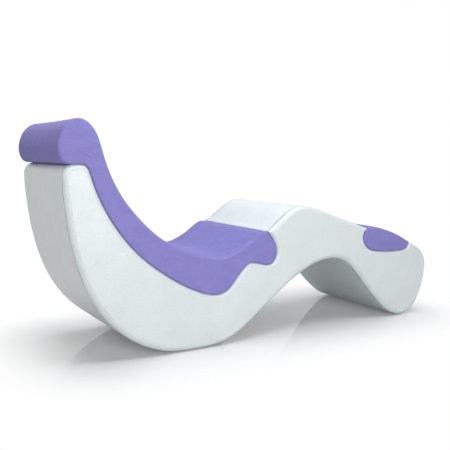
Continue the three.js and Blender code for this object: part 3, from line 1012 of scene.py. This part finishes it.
@dataclass
class SidePanels:
    """The two upholstered side panels, with a wide rounded edge outside and a narrow one at the cushions."""

    finishes: Finishes
    wide: float = 0.018
    narrow: float = 0.0115
    corner: float = 0.0052
    corner_slope: float = 0.6
    seam: float = 0.0034
    plain_seam: float = 0.0002
    seam_rings: int = 5
    seam_gap: float = 0.0006
    bevel_share: float = 0.5
    edge_steps: int = 9
    # How far the edge, and then the face, may be drawn in at a corner, as shares of its radius
    corner_share: float = 0.92
    room_share: float = 0.98
    room_slope: float = 0.03
    soften_passes: int = 6
    welt: float = 0.0032
    welt_share: float = 0.5
    welt_marks: Pair = (1.9, 0.45)
    stitch_depth: float = 0.0012
    hidden_inset: float = 0.002
    hidden_slope: float = 0.3
    head_blend: float = 0.05
    head_tolerance: float = 0.0005
    cut_depth: float = 0.001

    def build(self) -> None:
        """Builds both panels."""
        low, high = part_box("right_side_pad")
        outline = Outline.rounded(NodeSection("right_side_pad", high.y - self.cut_depth).lines(), self.corner)
        head = self._on_head(outline, high.z)
        edge, seam = self._edge_radii(outline, head), self._seam_radii(outline, head)
        for side, node in ((Side.RIGHT, "right_side_pad"), (Side.LEFT, "left_side_pad")):
            loft = Loft(node.replace("pad", "panel"), self._rings(outline, edge, seam, side, low.y, high.y))
            shade_smooth(loft.piece)
            self.finishes.finish_piece(loft.piece, Slot.WHITE, SHELL_BODY, node)

    def _on_head(self, outline: Outline, top: float) -> int:
        """Finds the first point of the outline on the flat head top.

        Args:
            outline: the panel's outline, whose third line is the cradle and the outer side.
            top: how high the head top lies.

        Returns:
            The point's number.
        """
        flat = (outline.part == 2) & (outline.points[:, 1] > top - self.head_tolerance)
        return int(np.flatnonzero(flat)[0])

    def _edge_radii(self, outline: Outline, head: int) -> np.ndarray:
        """Works out how wide the rounded edge is at each point.

        Args:
            outline: the panel's outline.
            head: the first point on the head top.

        Returns:
            One radius for each point.
        """
        number = np.arange(len(outline.points))
        before_head = (outline.part == 2) & (number < head)
        wanted = np.where((outline.part == 0) | before_head, self.narrow, self.wide)
        blend = self.head_blend / NodeSection.fine_step
        share = np.clip((number - head + blend / 2) / blend, 0, 1)
        near_head = (outline.part == 2) & (abs(number - head) < blend)
        wanted = np.where(near_head, self.narrow + share * (self.wide - self.narrow), wanted)
        limit = self.corner * self.corner_share + self.corner_slope * outline.away
        return np.minimum(outline.softened(np.minimum(wanted, limit), self.soften_passes), limit)

    def _seam_radii(self, outline: Outline, head: int) -> np.ndarray:
        """Works out how far the edge draws in at the seam with the bands.

        Args:
            outline: the panel's outline.
            head: the first point on the head top.

        Returns:
            One radius for each point.
        """
        number = np.arange(len(outline.points))
        banded = (outline.part == 1) | ((outline.part == 2) & (number >= head))
        return outline.softened(np.where(banded, self.seam, self.plain_seam), self.soften_passes)

    def _rings(self, outline: Outline, edge: np.ndarray, seam: np.ndarray, side: Side,
               outer: float, inner: float) -> list[Ring]:
        """Draws the panel's rings from its outer face to its seam with the bands.

        Args:
            outline: the panel's outline.
            edge: the rounded edge's radius at each point.
            seam: the seam's radius at each point.
            side: which panel it is.
            outer: the outer face's place on the right side.
            inner: the inner face's place on the right side.

        Returns:
            The rings in order.
        """
        room = self.corner * self.room_share + (self.corner_slope + self.room_slope) * outline.away - edge
        welt = np.minimum(self.welt, self.welt_share * room)
        stitch = self.stitch_depth * welt / welt.max()
        flat_mark, stitch_mark = self.welt_marks
        rings = [Ring(outline.inset(edge + flat_mark * welt), outer),
                 Ring(outline.inset(edge + welt), outer),
                 Ring(outline.inset(edge + stitch_mark * welt), outer + stitch)]
        turn = np.minimum(edge, inner - outer - seam - self.seam_gap)
        for step in np.linspace(0, 1, self.edge_steps + 1):
            angle = step * math.pi / 2
            up = (1 - self.bevel_share) * math.sin(angle) + self.bevel_share * step
            over = (1 - self.bevel_share) * (1 - math.cos(angle)) + self.bevel_share * step
            rings.append(Ring(outline.inset(edge * (1 - up)), outer + turn * over))
        for angle in np.linspace(0, math.pi / 2, self.seam_rings):
            rings.append(Ring(outline.inset(seam * (1 - math.cos(angle))),
                              inner - seam * (1 - math.sin(angle))))
        hidden = seam + np.minimum(self.hidden_inset, self.plain_seam + self.hidden_slope * outline.away)
        rings.append(Ring(outline.inset(hidden), inner))
        return [ring.mirrored() for ring in rings] if side is Side.LEFT else rings


@dataclass
class Bands:
    """The white bands between the side panels, with a rounded edge at each seam."""

    finishes: Finishes
    seam: float = 0.0024
    channel: float = 0.0046
    channel_depth: float = 0.0036
    corner: float = 0.0037
    arc_steps: int = 5
    seam_steps: int = 6
    middle_rings: int = 9
    cut_depth: float = 0.01
    foot_hole: float = 0.023
    hole_sides: int = 64
    hole_height: float = 0.02
    hole_depth: float = 0.1
    nodes: tuple[str, ...] = ("back_cover", "arch_cover", "toe_cover", "knee_cover")

    def build(self) -> None:
        """Builds the four bands and cuts the holes for the levelling feet."""
        for node in self.nodes:
            low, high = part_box(node)
            lines = NodeSection(node, low.y + self.cut_depth).lines()
            outline = Outline.rounded(lines, self.corner, self.arc_steps)
            loft = Loft(node.replace("cover", "band"), self._rings(outline, low.y, high.y))
            self._cut_foot_holes(loft.piece, low, high)
            shade_smooth(loft.piece)
            self.finishes.finish_piece(loft.piece, Slot.WHITE, SHELL_BODY, node)

    def _rings(self, outline: Outline, start: float, end: float) -> list[Ring]:
        """Draws a band's rings from seam to seam.

        Args:
            outline: the band's outline.
            start: the right seam's place.
            end: the left seam's place.

        Returns:
            The rings in order.
        """
        angles = np.linspace(0, math.pi / 2, self.seam_steps)
        inward = np.concatenate([[0, self.channel], self.channel + self.seam * (1 - np.cos(angles))])
        sunk = np.concatenate([[self.channel_depth] * 2, self.seam * (1 - np.sin(angles))])
        middles = np.linspace(start + inward[-1], end - inward[-1], self.middle_rings + 2)[1:-1]
        places = [*zip(start + inward, sunk), *((place, 0.0) for place in middles),
                  *zip(end - inward[::-1], sunk[::-1])]
        return [Ring(outline.inset(inset), place) for place, inset in places]

    def _cut_foot_holes(self, band: bpy.types.Object, low: Vector, high: Vector) -> None:
        """Cuts a round hole for each levelling foot that lies under the band.

        Args:
            band: the band.
            low: the lowest corner of its CAD node.
            high: the highest corner of its CAD node.
        """
        for pad in (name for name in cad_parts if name.endswith("_foot_pad")):
            foot_low, foot_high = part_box(pad)
            centre = (foot_low + foot_high) / 2
            if band.name.startswith("arch") or not low.x < centre.x < high.x:
                continue
            bpy.ops.object.select_all(action="DESELECT")
            bpy.ops.mesh.primitive_cylinder_add(
                vertices=self.hole_sides, radius=self.foot_hole, depth=self.hole_depth,
                location=(centre.x, centre.y, self.hole_height))
            cutter = bpy.context.object
            apply_modifier(band, "BOOLEAN", object=cutter, operation="DIFFERENCE", solver="EXACT")
            bpy.data.objects.remove(cutter)


@dataclass
class Stations:
    """Matching spots on a cushion's bed and top, as shares of the lounger's length and height.

    The first pair is the rear end of its side face and the last pair the front end.
    """

    bed: tuple[Pair, ...]
    top: tuple[Pair, ...]


@dataclass
class Cushion:
    """A foam cushion in a sewn cover: two side panels, a long top panel and a bed that follows the shell."""

    finishes: Finishes
    node: str
    name: str
    stations: Stations
    corner: float
    crown: float
    crown_shares: tuple[float, float, float, float]
    rim: float = 0.012
    bed_rim: float = 0.008
    bed_gap: float = 0.0004
    front_gap: float = 0.0005
    front_share: float = 0.4
    front_past: int = 4
    front_passes: int = 60
    top_passes: int = 14
    corner_share: float = 0.9
    corner_slope: float = 0.6
    along_step: float = 0.009
    deep_cells: int = 14
    rim_steps: int = 6
    across_cells: int = 40
    seam_depth: float = 0.0005
    # How far past the rim each ring of the seam lies, and its share of the seam's depth
    seam_marks: tuple[Pair, ...] = ((0.0007, 1), (0.0016, 1), (0.0026, 0))
    crown_power: int = 4
    relax_passes: int = 1200
    weld_reach: float = 1e-6
    smooth_degrees: float = 60
    hold_reach: float = 0.035
    free_power: float = 0.5
    cloth_quality: int = 5
    cloth_mass: float = 0.3
    air_damping: float = 2.0
    stretch: float = 15.0
    bending: float = 0.3
    pressure: float = 4.0
    most_move: float = 0.008
    settle_frames: int = 20
    slice_depth: float = 0.0125
    outline: Outline = field(init=False)
    picks: np.ndarray = field(init=False)
    marks: list[int] = field(init=False)
    half: float = field(init=False)

    def build(self) -> None:
        """Builds the cushion, lets its cover settle and dresses it."""
        low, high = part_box(self.node)
        self.half = high.y
        lines = NodeSection(self.node, low.y + self.slice_depth).lines()
        self.outline = Outline.rounded(lines, self.corner)
        self._choose_picks()
        piece = self._mesh()
        piece.name = self.name
        self._settle(piece)
        shade_smooth(piece, self.smooth_degrees)
        self.finishes.finish_piece(piece, Slot.LILAC, SHELL_BODY, self.node)

    def _nearest(self, spot: Pair) -> int:
        """Finds the outline's point nearest to a spot.

        Args:
            spot: shares of the lounger's length and height.

        Returns:
            The point's number.
        """
        low, high = CAD_BOX
        place = np.array([low.x + spot[0] * (high.x - low.x), low.z + spot[1] * (high.z - low.z)])
        return int(np.argmin(np.linalg.norm(self.outline.points - place, axis=1)))

    def _even_shares(self, cells: int) -> np.ndarray:
        """Works out where along the stations the cells end, so that cells on the bed are alike.

        Args:
            cells: how many cells the side face has along its length.

        Returns:
            Positions between zero and the number of station gaps.
        """
        low, high = CAD_BOX
        size = np.array([high.x - low.x, high.z - low.z])
        middle = (np.array(self.stations.bed) + np.array(self.stations.top)) / 2 * size
        along = distances_along(middle)
        return np.interp(np.linspace(0, along[-1], cells + 1), along, np.arange(len(along)))

    def _choose_picks(self) -> None:
        """Chooses the outline points that every ring has, in four runs round the side face."""
        bed, top = list(self.stations.bed), list(self.stations.top)
        total = len(self.outline.points)

        def numbers(spots: list[Pair]) -> np.ndarray:
            """Gives point numbers that only grow along the outline."""
            found = [float(self._nearest(spot)) for spot in spots]
            for i in range(1, len(found)):
                while found[i] < found[i - 1]:
                    found[i] += total
            return np.array(found)

        length = np.ptp(numbers(bed)) * NodeSection.fine_step
        cells = round(length / self.along_step)
        shares = self._even_shares(cells)
        steps = np.arange(len(bed))
        bed_run = np.interp(shares, steps, numbers(bed))
        top_run = np.interp((len(top) - 1) - shares[::-1], steps, numbers(top[::-1]))
        top_run += total * math.ceil((bed_run[-1] - top_run[0]) / total)
        front = np.linspace(bed_run[-1], top_run[0], self.deep_cells + 1)
        rear = np.linspace(top_run[-1], bed_run[0] + total * math.ceil((top_run[-1] - bed_run[0]) / total),
                           self.deep_cells + 1)
        runs = [bed_run, front, top_run, rear]
        self.picks = np.concatenate([run[:-1] for run in runs])
        self.marks = [0, *(int(n) for n in np.cumsum([len(run) - 1 for run in runs]))]

    def _at_picks(self, loop: np.ndarray) -> np.ndarray:
        """Reads values at the chosen outline points.

        Args:
            loop: one row or value for each outline point.

        Returns:
            One row or value for each pick.
        """
        total = len(self.outline.points)
        below = np.floor(self.picks).astype(int)
        share = self.picks - below
        share = share[:, None] if loop.ndim > 1 else share
        return loop[below % total] * (1 - share) + loop[(below + 1) % total] * share

    def _on_top(self) -> np.ndarray:
        """Marks the outline points on the sat-on side and round the rear, from 0 on the bed to 1.

        Returns:
            One value for each outline point.
        """
        total = len(self.outline.points)
        start = self.picks[self.marks[2]] % total
        end = self.picks[0] % total
        number = np.arange(total)
        reach = (end - start) % total
        inside = ((number - start) % total) < reach
        return self.outline.softened(inside.astype(float), self.top_passes)

    def _at_front(self) -> np.ndarray:
        """Marks the outline points where the cushion stands a little off the shell in front of it.

        Returns:
            One value for each outline point, from 0 to 1.
        """
        total = len(self.outline.points)
        front = self.picks[self.marks[1]:self.marks[2] + 1]
        start = front[0] + self.front_share * (front[-1] - front[0])
        inside = (np.arange(total) - start) % total < front[-1] - start + self.front_past
        return self.outline.softened(inside.astype(float), self.front_passes)

    def _rims(self) -> np.ndarray:
        """Works out the rounded edge's radius at each outline point.

        Returns:
            One radius for each point.
        """
        wanted = self.bed_rim + self._on_top() * (self.rim - self.bed_rim)
        return np.minimum(wanted, self.corner * self.corner_share + self.corner_slope * self.outline.away)

    def _bulge(self) -> np.ndarray:
        """Works out how far the sat-on side stands proud in the middle of the width.

        Returns:
            One height for each outline point.
        """
        total = len(self.outline.points)
        start = self.picks[self.marks[2]]
        span = self.picks[self.marks[3]] - start
        share = ((np.arange(total) - start) % total) / span
        rise, full, fall, end = self.crown_shares

        def eased(value: np.ndarray, low: float, high: float) -> np.ndarray:
            """Eases from 0 to 1 between two values."""
            t = np.clip((value - low) / (high - low), 0, 1)
            return t * t * (3 - 2 * t)

        return self.crown * eased(share, rise, full) * (1 - eased(share, fall, end)) * (share <= 1)

    def _rings(self) -> list[Ring]:
        """Draws the rings of picked points from the right side face to the left one.

        Returns:
            The rings in order.
        """
        rim, bulge, top = self._rims(), self._bulge(), self._on_top()
        base = self.bed_gap * (1 - top) + self.front_gap * self._at_front()
        rings: list[tuple[np.ndarray, np.ndarray]] = []
        for angle in np.linspace(0, math.pi / 2, self.rim_steps + 1):
            rings.append((base + rim * (1 - math.sin(angle)), self.half - rim * (1 - math.cos(angle))))
        for past, share in self.seam_marks:
            rings.append((base + share * self.seam_depth * top, self.half - rim - past))
        edge = self.half - self.rim - self.seam_marks[-1][0]
        for place in np.linspace(edge, 0, self.across_cells // 2 + 1)[1:]:
            fullness = 1 - (place / edge) ** self.crown_power
            rings.append((base - bulge * fullness, np.full(len(rim), place)))
        right = [Ring(self._at_picks(self.outline.inset(depth)), self._at_picks(-place))
                 for depth, place in rings]
        return right + [ring.mirrored() for ring in right[-2::-1]]

    def _side_face(self, ring: Ring) -> np.ndarray:
        """Fills a side face with a grid that follows its four edges.

        Args:
            ring: the face's ring.

        Returns:
            Places in rows from bed to top, and in columns from rear to front.
        """
        points = ring.places()
        closed = np.vstack([points, points[:1]])
        bed, front, top, rear = (closed[a:b + 1] for a, b in zip(self.marks, self.marks[1:]))
        top, rear = top[::-1], rear[::-1]
        u = np.linspace(0, 1, len(bed))[None, :, None]
        w = np.linspace(0, 1, len(front))[:, None, None]
        corners = ((1 - u) * (1 - w) * bed[0] + u * (1 - w) * bed[-1]
                   + (1 - u) * w * top[0] + u * w * top[-1])
        grid = (1 - w) * bed + w * top + (1 - u) * rear[:, None] + u * front[:, None] - corners
        return self._unfolded(grid)

    def _unfolded(self, grid: np.ndarray) -> np.ndarray:
        """Relaxes a grid inside its fixed edges so that no cell folds over its neighbours.

        Args:
            grid: places in rows and columns.

        Returns:
            The relaxed grid.
        """
        for _ in range(self.relax_passes):
            along = (grid[1:-1, 2:] - grid[1:-1, :-2]) / 2
            deep = (grid[2:, 1:-1] - grid[:-2, 1:-1]) / 2
            a, b, c = ((p * q).sum(2)[..., None] for p, q in ((deep, deep), (along, deep), (along, along)))
            cross = grid[2:, 2:] - grid[2:, :-2] - grid[:-2, 2:] + grid[:-2, :-2]
            beside = a * (grid[1:-1, 2:] + grid[1:-1, :-2]) + c * (grid[2:, 1:-1] + grid[:-2, 1:-1])
            grid[1:-1, 1:-1] = (beside - b * cross / 2) / (2 * (a + c))
        return grid

    def _mesh(self) -> bpy.types.Object:
        """Joins the tube of rings and the two side faces into one closed mesh.

        Returns:
            The new piece.
        """
        rings = self._rings()
        tube = np.stack([ring.places() for ring in rings])
        tube = np.concatenate([tube, tube[:, :1]], axis=1)
        sheets = [sheet(grid) for grid in (tube, self._side_face(rings[0]), self._side_face(rings[-1]))]
        select_only(*sheets)
        bpy.ops.object.join()
        piece = bpy.context.object
        with editing(piece):
            bpy.ops.mesh.remove_doubles(threshold=self.weld_reach)
            bpy.ops.mesh.select_all(action="SELECT")
            bpy.ops.mesh.normals_make_consistent(inside=False)
        return piece

    def _held_shares(self, places: np.ndarray) -> np.ndarray:
        """Works out how firmly each point is held by the shell that the cushion lies in.

        Args:
            places: the cushion's vertex places.

        Returns:
            1 on the bed, less up the side faces and 0 on the sat-on side.
        """
        against = self._at_picks(self.outline.points)[:self.marks[2] + 1]
        gaps = np.min([np.hypot(places[:, 0] - x, places[:, 2] - z) for x, z in against], axis=0)
        return np.clip(1 - (gaps - self.bed_rim) / self.hold_reach, 0, 1)

    def _settle(self, piece: bpy.types.Object) -> None:
        """Lets the cover settle as cloth under a little pressure, held where the shell holds it.

        Args:
            piece: the cushion.
        """
        before = places_of(piece)
        held = self._held_shares(before)
        group = piece.vertex_groups.new(name="held")
        for share in np.unique(held.round(1)):
            group.add(np.flatnonzero(held.round(1) == share).tolist(), float(share), "REPLACE")
        select_only(piece)
        modifier = piece.modifiers.new("cover", "CLOTH")
        cover = modifier.settings
        cover.quality, cover.mass, cover.air_damping = self.cloth_quality, self.cloth_mass, self.air_damping
        cover.tension_stiffness = cover.compression_stiffness = self.stretch
        cover.shear_stiffness, cover.bending_stiffness = self.stretch / 2, self.bending
        cover.use_pressure, cover.uniform_pressure_force = True, self.pressure
        cover.vertex_group_mass, cover.pin_stiffness = group.name, 1
        cover.effector_weights.gravity = 0
        modifier.point_cache.frame_end = self.settle_frames
        for number in range(1, self.settle_frames + 1):
            bpy.context.scene.frame_set(number)
        bpy.ops.object.modifier_apply(modifier=modifier.name)
        piece.vertex_groups.clear()
        move = (places_of(piece) - before) * (1 - held)[:, None] ** self.free_power
        length = np.linalg.norm(move, axis=1, keepdims=True)
        LOG.info("%s: the cover moves up to %.1f mm", piece.name, 1000 * length.max())
        move_vertices(piece, before + move / (1 + length / self.most_move))
        bpy.context.scene.frame_set(1)
        apply_modifier(piece, "SUBSURF", levels=1, render_levels=1)


def sheet(grid: np.ndarray) -> bpy.types.Object:
    """Adds a grid and puts its vertices in place.

    Args:
        grid: places in rows and columns.

    Returns:
        The new mesh object.
    """
    rows, columns = grid.shape[:2]
    bpy.ops.object.select_all(action="DESELECT")
    bpy.ops.mesh.primitive_grid_add(x_subdivisions=columns - 1, y_subdivisions=rows - 1, size=2)
    piece = bpy.context.object
    start = places_of(piece)
    column = np.rint((start[:, 0] + 1) / 2 * (columns - 1)).astype(int)
    row = np.rint((start[:, 1] + 1) / 2 * (rows - 1)).astype(int)
    move_vertices(piece, grid[row, column])
    return piece


@dataclass
class InnerParts:
    """The hidden frame, screws and fixings, which keep their CAD shapes."""

    finishes: Finishes
    # The last two are for the nodes that the padded pieces stand for
    by_name: tuple[tuple[str, Slot], ...] = (
        ("_screw_", Slot.STEEL), ("_nut", Slot.STEEL), ("_stem", Slot.STEEL), ("_foot_pad", Slot.RUBBER),
        ("_rail", Slot.BEECH), ("_strip", Slot.HOOK), ("_frame", Slot.PLYWOOD), ("_skin", Slot.PLYWOOD),
        ("_deck", Slot.PLYWOOD), ("cushion", Slot.LILAC), ("", Slot.WHITE),
    )

    def dress(self) -> None:
        """Gives each CAD node its finish."""
        for name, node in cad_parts.items():
            slot = next(slot for word, slot in self.by_name if word in name)
            self.finishes.dress(node, slot)
            LOG.info("%s: %s", name, slot.value)


COOL = (0.94, 0.97, 1.0)


@dataclass(frozen=True)
class Softbox:
    """A square soft lamp."""

    name: str
    place: Triple
    target: Triple
    size: float
    power: float
    colour: Triple = (1.0, 1.0, 1.0)

    def hang(self) -> None:
        """Adds the lamp and points it at its target."""
        data = bpy.data.lights.new(self.name, "AREA")
        data.size, data.energy, data.color = self.size, self.power, self.colour
        lamp = bpy.data.objects.new(self.name, data)
        lamp.location = self.place
        aim = Vector(self.target) - Vector(self.place)
        lamp.rotation_euler = aim.to_track_quat("-Z", "Y").to_euler()
        lamp.visible_camera = False
        bpy.context.collection.objects.link(lamp)


@dataclass
class Studio:
    """A white floor, soft light and the photograph's camera."""

    camera_place: Triple = (-1.691, -2.694, 0.837)
    camera_yaw: float = 30.84
    camera_pitch: float = 6.27
    lens: float = 52.34
    sensor: float = 36.0
    clip: Pair = (0.05, 200.0)
    softboxes: tuple[Softbox, ...] = (
        Softbox("top_softbox", (0.0, 0.0, 3.2), (0.0, 0.0, 0.0), 3.0, 41.0, COOL),
        Softbox("edge_softbox", (0.15, -1.35, 3.3), (0.0, 0.0, 0.2), 1.0, 31.0, COOL),
        Softbox("back_softbox", (0.0, 1.8, 3.0), (0.0, 0.0, 0.2), 2.4, 22.0, COOL),
        Softbox("head_softbox", (-2.8, 0.2, 1.8), (0.0, 0.0, 0.2), 1.6, 8.5),
        Softbox("key_softbox", (-2.3, -3.3, 1.5), (0.0, 0.0, 0.3), 2.0, 49.0),
        Softbox("front_softbox", (0.3, -4.0, 0.65), (0.0, 0.0, 0.4), 1.2, 41.0),
    )
    ambient: float = 0.05
    floor_size: float = 60.0
    floor_bounce: float = 0.56
    floor_white: float = 0.92
    shaded_half: Triple = (0.75, 0.2, 0)
    floor_fade: Pair = (0.0, 0.52)
    floor_least_share: float = 0.07
    floor_roughness: float = 0.06
    floor_gloss: float = 0.14

    def build(self) -> None:
        """Sets up the floor, the world, the lamps and the camera."""
        self._floor()
        self._world()
        for softbox in self.softboxes:
            softbox.hang()
        self._camera()

    def _floor(self) -> None:
        """Lays a plain white, softly shining floor."""
        bpy.ops.object.select_all(action="DESELECT")
        bpy.ops.mesh.primitive_plane_add(size=self.floor_size, location=(0, 0, 0))
        floor = bpy.context.object
        floor.name = "floor"
        shader = Shader("floor")
        seen = shader.seen()
        shader.colour_with(shader.tint(seen, (self.floor_bounce,) * 3, (self.floor_white,) * 3))
        shader.set(Roughness=self.floor_roughness, Specular_IOR_Level=self.floor_gloss)
        away = shader.place
        nought = (0, 0, 0)
        for operation, value in (("ABSOLUTE", nought), ("SUBTRACT", self.shaded_half), ("MAXIMUM", nought)):
            step = shader.add("ShaderNodeVectorMath", operation=operation)
            shader.link(away, step.inputs[0])
            step.inputs[1].default_value = value
            away = step.outputs["Vector"]
        reach = shader.add("ShaderNodeVectorMath", operation="LENGTH")
        shader.link(away, reach.inputs[0])
        fade = shader.spread(reach.outputs["Value"], self.floor_least_share, 1, *self.floor_fade)
        fade.node.interpolation_type = "SMOOTHSTEP"
        white, blend = shader.add("ShaderNodeEmission"), shader.add("ShaderNodeMixShader")
        shader.link(shader.calculate("MULTIPLY", fade, seen), blend.inputs[0])
        shader.link(shader.surface.outputs[0], blend.inputs[1])
        shader.link(white.outputs[0], blend.inputs[2])
        shader.link(blend.outputs[0], shader.tree.nodes["Material Output"].inputs["Surface"])
        floor.data.materials.append(shader.material)

    def _world(self) -> None:
        """Lights the scene evenly, and shows white behind the object."""
        world = bpy.data.worlds.new("studio")
        bpy.context.scene.world = world
        nodes = NodeTree(world)
        background = nodes.tree.nodes["Background"]
        background.inputs["Color"].default_value = (1, 1, 1, 1)
        nodes.link(nodes.spread(nodes.seen(), self.ambient, 1, 0, 1), background.inputs["Strength"])

    def _camera(self) -> None:
        """Puts the camera where the photograph was taken from."""
        data = bpy.data.cameras.new("camera")
        data.lens, data.sensor_width = self.lens, self.sensor
        data.clip_start, data.clip_end = self.clip
        camera = bpy.data.objects.new("camera", data)
        camera.location = self.camera_place
        camera.rotation_euler = (math.radians(90 - self.camera_pitch), 0, math.radians(-self.camera_yaw))
        bpy.context.collection.objects.link(camera)
        bpy.context.scene.camera = camera


def main() -> None:
    """Builds the lounger, its finishes and the studio."""
    logging.basicConfig(level=logging.INFO, format="%(message)s")
    bpy.context.scene.view_settings.view_transform = "Standard"
    finishes = Finishes()
    InnerParts(finishes).dress()
    SidePanels(finishes).build()
    Bands(finishes).build()
    seat_stations = Stations(
        bed=((0.0204, 0.8206), (0.0475, 0.8206), (0.0587, 0.804), (0.0857, 0.669), (0.13, 0.523),
             (0.21, 0.368), (0.296, 0.266), (0.352, 0.237), (0.388, 0.274), (0.434, 0.364),
             (0.464, 0.356), (0.482, 0.3485)),
        top=((0.0245, 0.987), (0.0612, 0.987), (0.0857, 0.91), (0.116, 0.74), (0.166, 0.598),
             (0.237, 0.476), (0.311, 0.4165), (0.352, 0.401), (0.3827, 0.407), (0.4214, 0.442),
             (0.4556, 0.491), (0.4832, 0.502)),
    )
    foot_stations = Stations(
        bed=((0.7811, 0.4), (0.8112, 0.364), (0.8673, 0.352), (0.9291, 0.368)),
        top=((0.7852, 0.48), (0.8112, 0.4845), (0.8673, 0.4557), (0.9357, 0.392)),
    )
    Cushion(finishes, "main_cushion", "seat_cushion", seat_stations, corner=0.013, crown=0.007,
            crown_shares=(0.05, 0.14, 0.62, 0.74), front_gap=0.0045, most_move=0.005).build()
    Cushion(finishes, "foot_cushion", "foot_rest_cushion", foot_stations, corner=0.008, crown=0.004,
            crown_shares=(0.0, 0.3, 0.6, 0.95), rim=0.010, most_move=0.0015).build()
    Studio().build()


if __name__ == "__main__":
    main()
